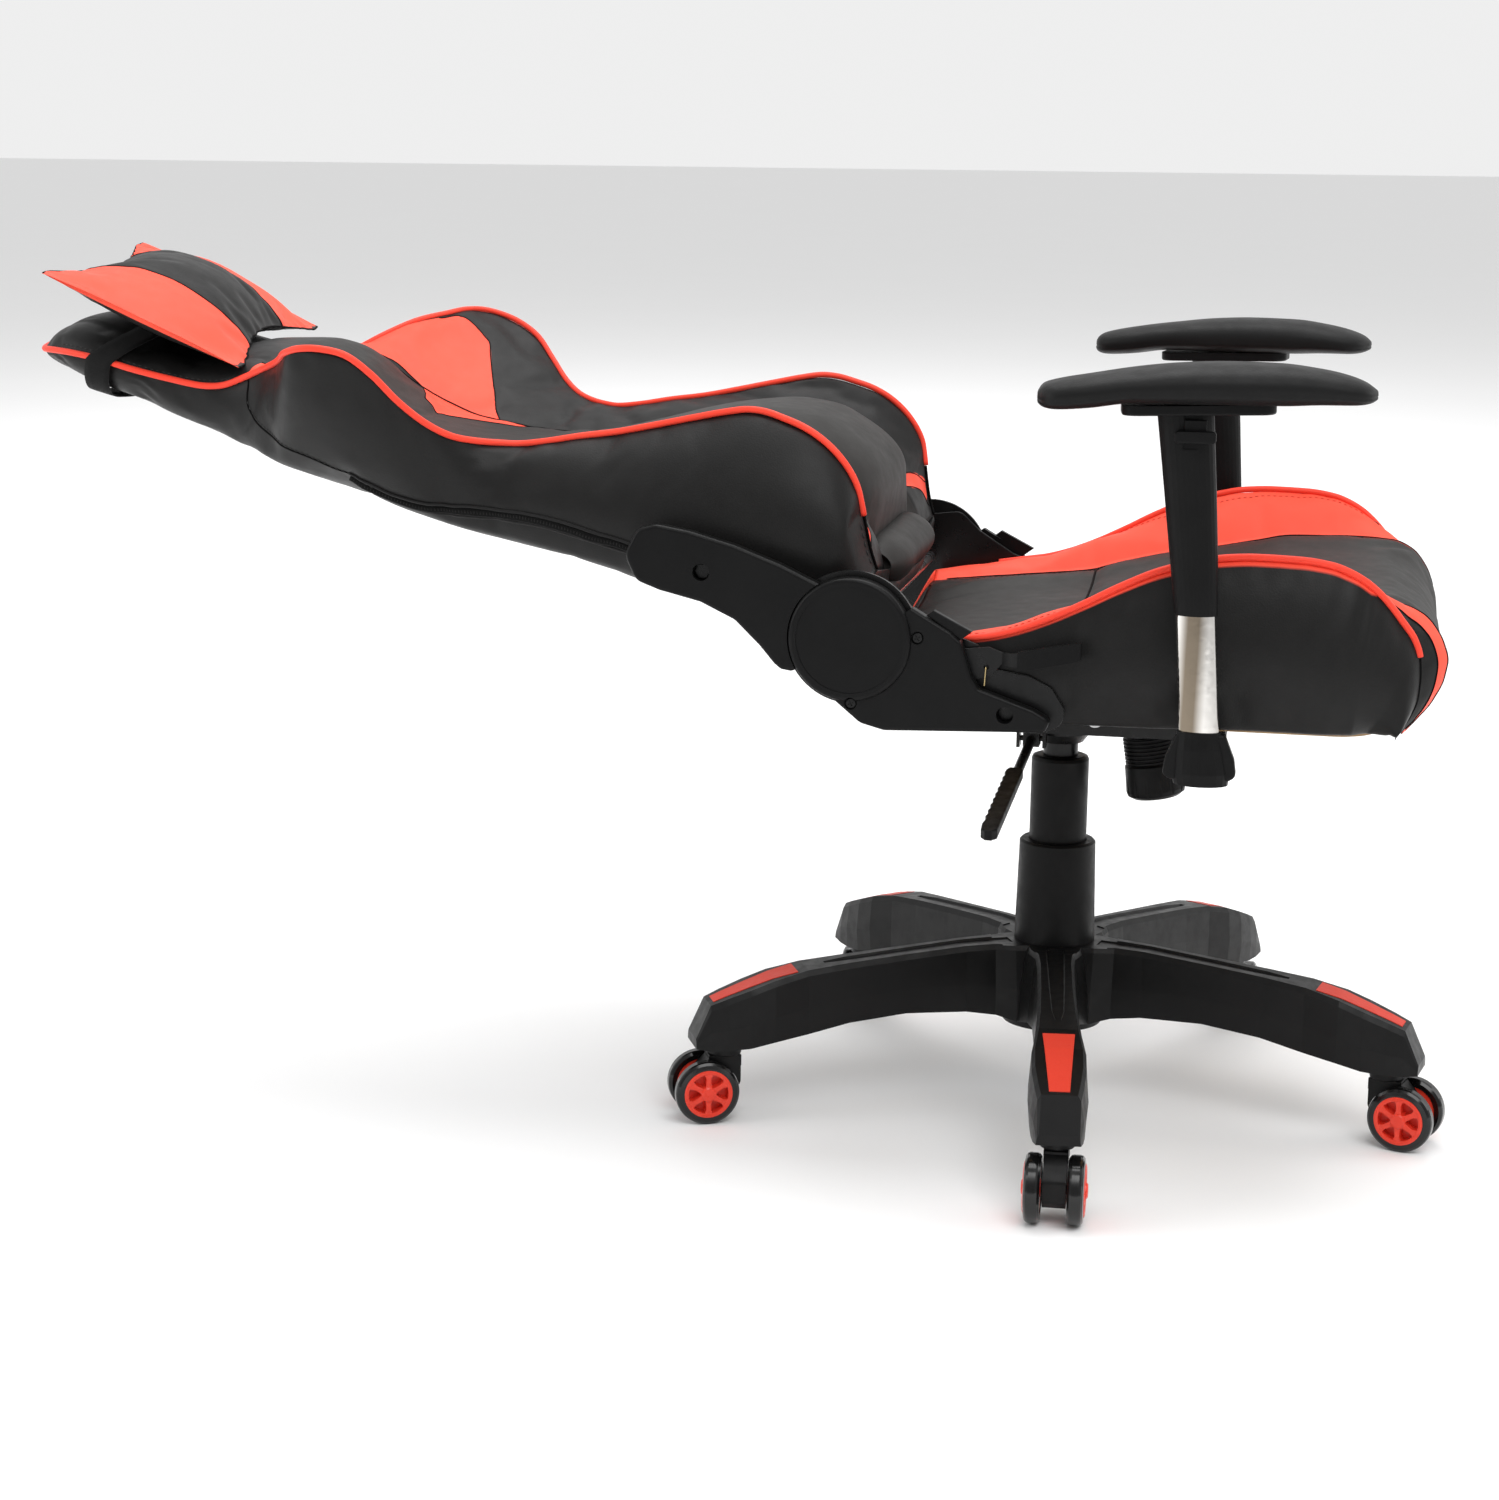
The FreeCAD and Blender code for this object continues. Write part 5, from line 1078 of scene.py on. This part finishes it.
# piping of the seat, and its seams
sp, ss_, st_s, st_r = [], [], [], []
for sd in (-1, 1):
    qq = np.concatenate([np.linspace(0.09, 0.62, 40), np.linspace(0.63, 0.80, 14)])
    sp.append(tube([p + np.array((0, sd * 0.0006, 0.0014)) for p in SP(qq, np.full(len(qq), 2.0), sd)], 0.0030, 10, 240))
    qe = np.linspace(0.80, 0.995, 16)
    ss_.append(tube(lay(seat_skin, smooth_path(SP(qe, np.full(16, 2.0), sd), 60), 0.0), 0.0012, 6))
    ss_.append(tube(lay(seat_skin, SP(np.linspace(0.02, 0.99, 160), np.full(160, 1.0), sd), -0.1), 0.0010, 6))
    st_r.append(dashes(lay(seat_skin, SP(np.linspace(0.1, 0.62, 160), np.full(160, 1.80), sd), 0.2), 420, 0.0036, 0.0022, 0.00042))
    st_s.append(dashes(lay(seat_skin, SP(np.linspace(0.02, 0.62, 160), np.full(160, 0.965), sd), 0.2), 420, 0.0036, 0.0022, 0.00042))
    edge = [SP(0.645, 1.97, sd, 0.2), SP(0.650, 1.70, sd, 0.2)] + [SP(q, 1 + float(np.interp(q, sq, sw)), sd, 0.2) for q in np.linspace(0.657, 0.99, 24)]
    ss_.append(tube(lay(seat_skin, smooth_path(edge, 90), 0.0), 0.0008, 6))
xs_ = np.linspace(-0.985, 0.985, 41)
ss_.append(tube(lay(seat_skin, smooth_path([SP(Q_SEAM, abs(t), 1 if t >= 0 else -1) for t in xs_], 160), 0.1), 0.0013, 6))
piece("seat_piping", join(sp), ["piping"], "seat")
piece("seat_seams", join(ss_), ["seam"], "seat")
piece("seat_stitches", join(st_s), ["thread"], "seat")
piece("seat_stitches_red", join(st_r), ["thread_red"], "seat")

# ------------------------------------------------------------------ head pillow
PC_U, PC_V, YAW = 735.0, 70.0, math.radians(8.0)
cY, sY = math.cos(YAW), math.sin(YAW)
PIL = np.array([(-178, 96, 66, 2, 17), (-160, 97, 65, 8, 17), (-130, 92, 66, 16, 15), (-90, 84, 67, 25, 13), (-45, 77, 69, 31, 11), (0, 75, 70, 32, 10),
                (45, 77, 69, 31, 11), (90, 84, 67, 25, 13), (130, 92, 66, 16, 15), (160, 97, 65, 8, 17), (178, 96, 66, 2, 17)], float)


def pillow_pt(y, a):
    """y across, a angle round the section: 0 upper edge seam, pi/2 top, pi lower seam, 3pi/2 underside. Returns mm in the pillow frame."""
    hl, mv, ht, ln = pchip(PIL[:, 0], PIL[:, 1:], y)
    ht = max(ht, 2.0)
    c, s = math.cos(a), math.sin(a)
    ls = math.copysign(abs(c) ** 0.72, c) * hl
    w = mv + ln * ls / max(hl, 1)
    t = (1 - abs(ls / hl) ** 1.9) ** 0.80 if abs(ls) < hl else 0.0
    up = s >= 0
    w += (ht * t if up else -ht * t)
    if not up:
        w = max(w, 47.0 + 2.5 * (abs(ls) / hl) ** 2)
    return ls, y, w


def PW(s, y, w):
    u = PC_U + s * cY + y * sY
    return B(u, y * cY - s * sY, w)


na = 44
ysp = np.concatenate([[-178, -175, -170], np.linspace(-163, 163, 49), [170, 175, 178]])
Vp, uvp = [], []
for y in ysp:
    for j in range(na):
        a = 2 * math.pi * j / na
        ls, yy, w = pillow_pt(y, a)
        Vp.append(PW(ls, yy, w))
        uvp.append((y, a))
Fp = grid_faces(len(ysp), na, True)
Fp.append(tuple(range(na)))
Fp.append(tuple((len(ysp) - 1) * na + j for j in range(na))[::-1])
uvp = np.array(uvp)


def pil_mat(f):
    y = np.mean([uvp[i][0] for i in f])
    a = [uvp[i][1] for i in f]
    if max(a) - min(a) > math.pi:
        a = [x if x > math.pi else x + 2 * math.pi for x in a]
    am = np.mean(a) % (2 * math.pi)
    top = am < math.pi
    if top and (y > 72 or y < -83):
        return 1
    return 0


pillow = make("head_pillow_cover", Vp, Fp, ["pu_black", "pu_red"], [pil_mat(f) for f in Fp])
pin = np.zeros(len(Vp))
seam_a = np.minimum(np.abs(uvp[:, 1]), np.abs(uvp[:, 1] - math.pi))
pin[(seam_a < 0.03)] = 1
pin[np.abs(uvp[:, 0]) > 172] = 1
pin[(np.abs(uvp[:, 0] + 5.5) < 81) & (np.abs(uvp[:, 0] + 5.5) > 74) & (uvp[:, 1] < math.pi)] = 0.6
pin[uvp[:, 1] > math.pi] = np.maximum(pin[uvp[:, 1] > math.pi], 0.7)
puff(pillow, pin, 0.005, pressure=3.0, grow=0.02, frames=18, bend=0.5)
co = verts_of(pillow)
nr = np.empty(len(co) * 3)
pillow.data.vertices.foreach_get("normal", nr)
nr = nr.reshape(-1, 3)
topm = (uvp[:, 1] < math.pi) & (uvp[:, 1] > 0.02)
rad = np.where(topm, 1.0, 0.15)
ripple = np.sin(uvp[:, 0] * 0.33 + 2.2 * value_noise(co, 35, 41)) * np.exp(-(seam_a / 0.32) ** 2) * 1.1
co += nr * ((value_noise(co, 22, 43) * 1.4 + ripple) * rad * MM)[:, None]
pillow.data.vertices.foreach_set("co", co.reshape(-1))
subdiv(pillow)
pillow_skin = skin_of(pillow)
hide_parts("head_pillow")
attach(pillow, "head_pillow")
pm = []
for a in (0.0, math.pi):
    pm.append(tube(lay(pillow_skin, [PW(*pillow_pt(y, a)) for y in np.linspace(-174, 174, 160)], 0.0), 0.0010, 6))
for ys_ in (-83, 72):
    pm.append(tube(lay(pillow_skin, [PW(*pillow_pt(ys_, a)) for a in np.linspace(0.05, math.pi - 0.05, 90)], 0.0), 0.0008, 6))
piece("head_pillow_seams", join(pm), ["seam"], "head_pillow")

# strap, flat elastic round the head, with its own edges
outl = [(-152.4, 17), (-146, 29), (-122, 42.6), (-68, 48.2), (68, 48.2), (122, 42.6), (146, 29), (152.4, 17), (147, -2), (133, -14.8), (92, -21.2), (-92, -21.2), (-133, -14.8), (-147, -2)]
ring = smooth_path([(y, v, 0) for y, v in outl], 150, True)
Vt, Ft = [], []
wS = [714.2, 714.8, 738.2, 738.8]
for i, (y, v, _) in enumerate(ring):
    n2 = np.array([ring[(i + 1) % 150][1] - ring[i - 1][1], -(ring[(i + 1) % 150][0] - ring[i - 1][0])])
    n2 /= np.linalg.norm(n2)
    if n2 @ np.array([y, v - 12]) < 0:
        n2 = -n2
    for uu_, off in ((714.2, 0.0), (714.6, 1.15), (720, 1.3), (732, 1.3), (738.4, 1.15), (738.8, 0.0)):
        vv_ = v + n2[1] * off
        Vt.append(B(uu_ + 24.0 * min(1.0, max(0.0, (44.0 - vv_) / 30.0)), y + n2[0] * off, vv_))
for i in range(150):
    j = (i + 1) % 150
    for k in range(6):
        k2 = (k + 1) % 6
        Ft.append((i * 6 + k, i * 6 + k2, j * 6 + k2, j * 6 + k))
strap = make("pillow_strap", Vt, Ft, ["strap"])
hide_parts("head_pillow_strap")
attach(strap, "head_pillow")

# ------------------------------------------------------------------ arm pads
PST = np.array([(-136, 8, 690.5, 699.0), (-132, 24, 687.0, 704.5), (-122, 33, 685.3, 708.0), (-96, 38, 687.0, 713.0), (-60, 41, 691.6, 718.5), (-20, 43, 691.6, 723.0), (20, 43.5, 691.6, 725.0),
                (60, 43, 691.8, 724.5), (92, 41, 693.2, 720.5), (118, 37, 693.4, 714.5), (130, 28, 695.2, 709.5), (136, 12, 698.0, 705.0)], float)
for nm, sd in (("right", -1), ("left", 1)):
    xs_p = np.concatenate([[-136, -135, -133.5, -131, -127], np.linspace(-122, 118, 40), [123, 127, 130, 133, 135, 136]])
    Vq, na2 = [], 40
    uvq = []
    for x in xs_p:
        hw, zb, zt = pchip(PST[:, 0], PST[:, 1:], x)
        for j in range(na2):
            a = 2 * math.pi * j / na2
            c, s = math.cos(a), math.sin(a)
            # full rounded top, flatter underside
            yy = math.copysign(abs(c) ** 0.62, c) * hw
            zc = zb + 0.42 * (zt - zb)
            zz = zc + (math.copysign(abs(s) ** 0.80, s) * ((zt - zc) if s >= 0 else (zc - zb)))
            ca, sa_ = math.cos(math.radians(-6 * sd)), math.sin(math.radians(-6 * sd))
            Vq.append(((132 + x * ca - yy * sa_) * MM, (sd * 292 + x * sa_ + yy * ca) * MM, zz * MM))
            uvq.append((x, a))
    Fq = [f for f in grid_faces(len(xs_p), na2, True)]
    Fq.append(tuple(range(na2))[::-1])
    Fq.append(tuple((len(xs_p) - 1) * na2 + j for j in range(na2)))
    uvq = np.array(uvq)
    ob = make("arm_pad_%s" % nm, Vq, Fq, ["pad"])
    pin = np.where(np.sin(uvq[:, 1]) < -0.2, 1.0, 0.0)
    puff(ob, pin, 0.0022, pressure=2.0, grow=0.0, frames=10, stiff=40.0, bend=4.0)
    co = verts_of(ob)
    nr = np.empty(len(co) * 3)
    ob.data.vertices.foreach_get("normal", nr)
    nr = nr.reshape(-1, 3)
    fold = -1.0 * np.exp(-((np.sin(uvq[:, 1]) + 0.12) / 0.10) ** 2)
    co += nr * ((value_noise(co, 25, 51) * 0.5 * (np.sin(uvq[:, 1]) > 0) + fold) * MM)[:, None]
    ob.data.vertices.foreach_set("co", co.reshape(-1))
    subdiv(ob)
    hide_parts("armrest_pad_%s" % nm)
    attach(ob, "arm_%s" % nm)

# ------------------------------------------------------------------ materials of the CAD nodes


def dress(node, *mats):
    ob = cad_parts[node]
    ob.data.materials.clear()
    for m in mats:
        ob.data.materials.append(M[m])
    ob.data.polygons.foreach_set("material_index", np.zeros(len(ob.data.polygons), np.int32))
    return ob


def centres(ob):
    c = np.empty(len(ob.data.polygons) * 3)
    ob.data.polygons.foreach_get("center", c)
    return c.reshape(-1, 3)


for n_, m_ in {
    "star_base": "nylon", "base_arm_inserts": "insert", "gas_lift_outer_tube": "paint", "gas_lift_guide_bush": "guide", "thrust_bearing": "steel",
    "column_cover_lower": "cover", "column_cover_upper": "cover", "gas_lift_piston_rod": "steel", "gas_lift_cylinder": "paint", "tilt_mechanism_housing": "paint",
    "tilt_pivot_pin": "steel", "tension_spring": "steel", "tension_knob": "cover", "height_lever_sleeve": "paint", "height_lever_rod": "paint", "height_lever_grip": "grip",
    "tilt_top_plate": "paint", "seat_pan": "ply", "armrest_shoes": "cover", "recliner_seat_plates": "paint", "recliner_seat_covers": "gloss_cover", "cover_screws": "paint",
    "recliner_lever_spring": "brass_wire", "back_frame": "paint", "recliner_back_plates": "paint", "recliner_back_covers": "gloss_cover", "recliner_cross_rod": "steel",
    "armrest_sleeve_right": "cover", "armrest_sleeve_left": "cover", "armrest_plate_right": "cover", "armrest_plate_left": "cover",
    "armrest_trigger_right": "cover", "armrest_trigger_left": "cover", "recliner_lever": "paint",
}.items():
    dress(n_, m_)
arm_angles = [-83.6, -155.6, -11.6, 60.4, 132.4]
trail_deg = [-88.0, -156.5, -17.5, 84.0, 96.0]
for k in range(5):
    dress("caster_fork_%d" % (k + 1), "nylon")
    cxk, cyk = 320 * math.cos(math.radians(arm_angles[k])), 320 * math.sin(math.radians(arm_angles[k]))
    td = math.radians(trail_deg[k])
    wc = np.array([cxk + 20 * math.cos(td), cyk + 20 * math.sin(td), 30.0]) * MM
    ax = np.array([-math.sin(td), math.cos(td), 0.0])
    for sd in ("left", "right"):
        ob = dress("caster_wheel_%d_%s" % (k + 1, sd), "tyre", "hub")
        co = verts_of(ob) - wc
        rad = np.linalg.norm(co - np.outer(co @ ax, ax), axis=1)
        idx = np.array([1 if min(rad[i] for i in p.vertices) < 0.02259 else 0 for p in ob.data.polygons], np.int32)
        ob.data.polygons.foreach_set("material_index", idx)
ob = dress("armrest_posts", "chrome", "paint")
ob.data.polygons.foreach_set("material_index", (centres(ob)[:, 2] < 0.4035).astype(np.int32))
ob = dress("recliner_lever", "paint", "grip")
cc = centres(ob)
ob.data.polygons.foreach_set("material_index", ((cc[:, 0] > -0.0172) & ((np.abs(cc[:, 1] + 0.258) > 0.0014) | (cc[:, 0] > 0.021))).astype(np.int32))

# ------------------------------------------------------------------ stage, light and camera


def stage_plane(name, size, z, col, rough):
    me = bpy.data.meshes.new(name)
    n = 2
    h = size / 2
    me.from_pydata([(-h, -h, z), (h, -h, z), (h, h, z), (-h, h, z)], [], [(0, 1, 2, 3)])
    m, nt, bs, tc = new_mat(name + "_mat")
    nt.links.new(mix_color(nt, noise(nt, tc, 1.5, 2.0), col, tuple(c * 0.985 for c in col)), bs.inputs["Base Color"])
    bs.inputs["Roughness"].default_value = rough
    bs.inputs["Specular IOR Level"].default_value = 0.15
    me.materials.append(m)
    ob = bpy.data.objects.new(name, me)
    bpy.context.scene.collection.objects.link(ob)
    ob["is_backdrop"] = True
    return ob


stage_plane("floor", 400.0, 0.0, (0.95, 0.95, 0.95), 0.8)

world = bpy.data.worlds.new("studio")
world.use_nodes = True
bpy.context.scene.world = world
bg = world.node_tree.nodes["Background"]
bg.inputs["Color"].default_value = (1.0, 1.0, 1.0, 1)
wt = world.node_tree
wc_ = wt.nodes.new("ShaderNodeTexCoord")
ws_ = wt.nodes.new("ShaderNodeSeparateXYZ")
wm_ = wt.nodes.new("ShaderNodeMapRange")
wm_.inputs["From Min"].default_value = -0.95
wm_.inputs["From Max"].default_value = 0.1
wm_.inputs["To Min"].default_value = 0.34
wm_.inputs["To Max"].default_value = 0.86
wt.links.new(wc_.outputs["Generated"], ws_.inputs["Vector"])
wt.links.new(ws_.outputs["Y"], wm_.inputs["Value"])
wt.links.new(wm_.outputs["Result"], bg.inputs["Strength"])


def area(name, loc, target, size, power, size_y=None, color=(1, 1, 1)):
    d = bpy.data.lights.new(name, "AREA")
    d.energy = power
    d.color = color
    d.shape = "RECTANGLE"
    d.size = size
    d.size_y = size_y or size
    o = bpy.data.objects.new(name, d)
    o.location = loc
    o.rotation_euler = (Vector(target) - Vector(loc)).to_track_quat("-Z", "Y").to_euler()
    bpy.context.scene.collection.objects.link(o)
    return o


area("key", (0.9, -2.2, 3.0), (-0.2, 0, 0.45), 2.2, 62.0)
area("fill_left", (-3.0, -1.2, 1.6), (-0.3, 0, 0.45), 2.0, 30.0)
area("top", (-0.2, 0.6, 3.4), (-0.2, 0, 0.4), 2.6, 72.0)
area("floor_wash", (-1.2, 4.5, 3.2), (-0.6, 6.5, 0.0), 3.0, 90.0)
area("rim_right", (2.6, 0.8, 1.5), (0, 0, 0.45), 1.4, 14.0)

bpy.context.scene.view_settings.view_transform = "Standard"

yaw, pitch, roll = math.radians(11.0182), math.radians(12.0622), math.radians(0.7132)
d = Vector((-math.sin(yaw) * math.cos(pitch), math.cos(yaw) * math.cos(pitch), -math.sin(pitch)))
r = d.cross(Vector((0, 0, 1))).normalized()
u_ = r.cross(d)
r2 = math.cos(roll) * r + math.sin(roll) * u_
u2 = -math.sin(roll) * r + math.cos(roll) * u_
cam = bpy.data.cameras.new("camera")
cam.lens = 70.543
cam.sensor_width = 36.0
cam.clip_start = 0.05
cam.clip_end = 60.0
co_ = bpy.data.objects.new("camera", cam)
co_.matrix_world = Matrix(((r2.x, u2.x, -d.x, 0.22867), (r2.y, u2.y, -d.y, -2.700), (r2.z, u2.z, -d.z, 0.90958), (0, 0, 0, 1)))
bpy.context.scene.collection.objects.link(co_)
bpy.context.scene.camera = co_


def plain(b):
    if isinstance(b, dict):
        return {k: plain(v) for k, v in b.items()}
    if isinstance(b, (list, tuple, Vector, np.ndarray)):
        return [plain(v) for v in b]
    return float(b)


{"cad": plain(CAD_BOX), "visual": plain(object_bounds())}
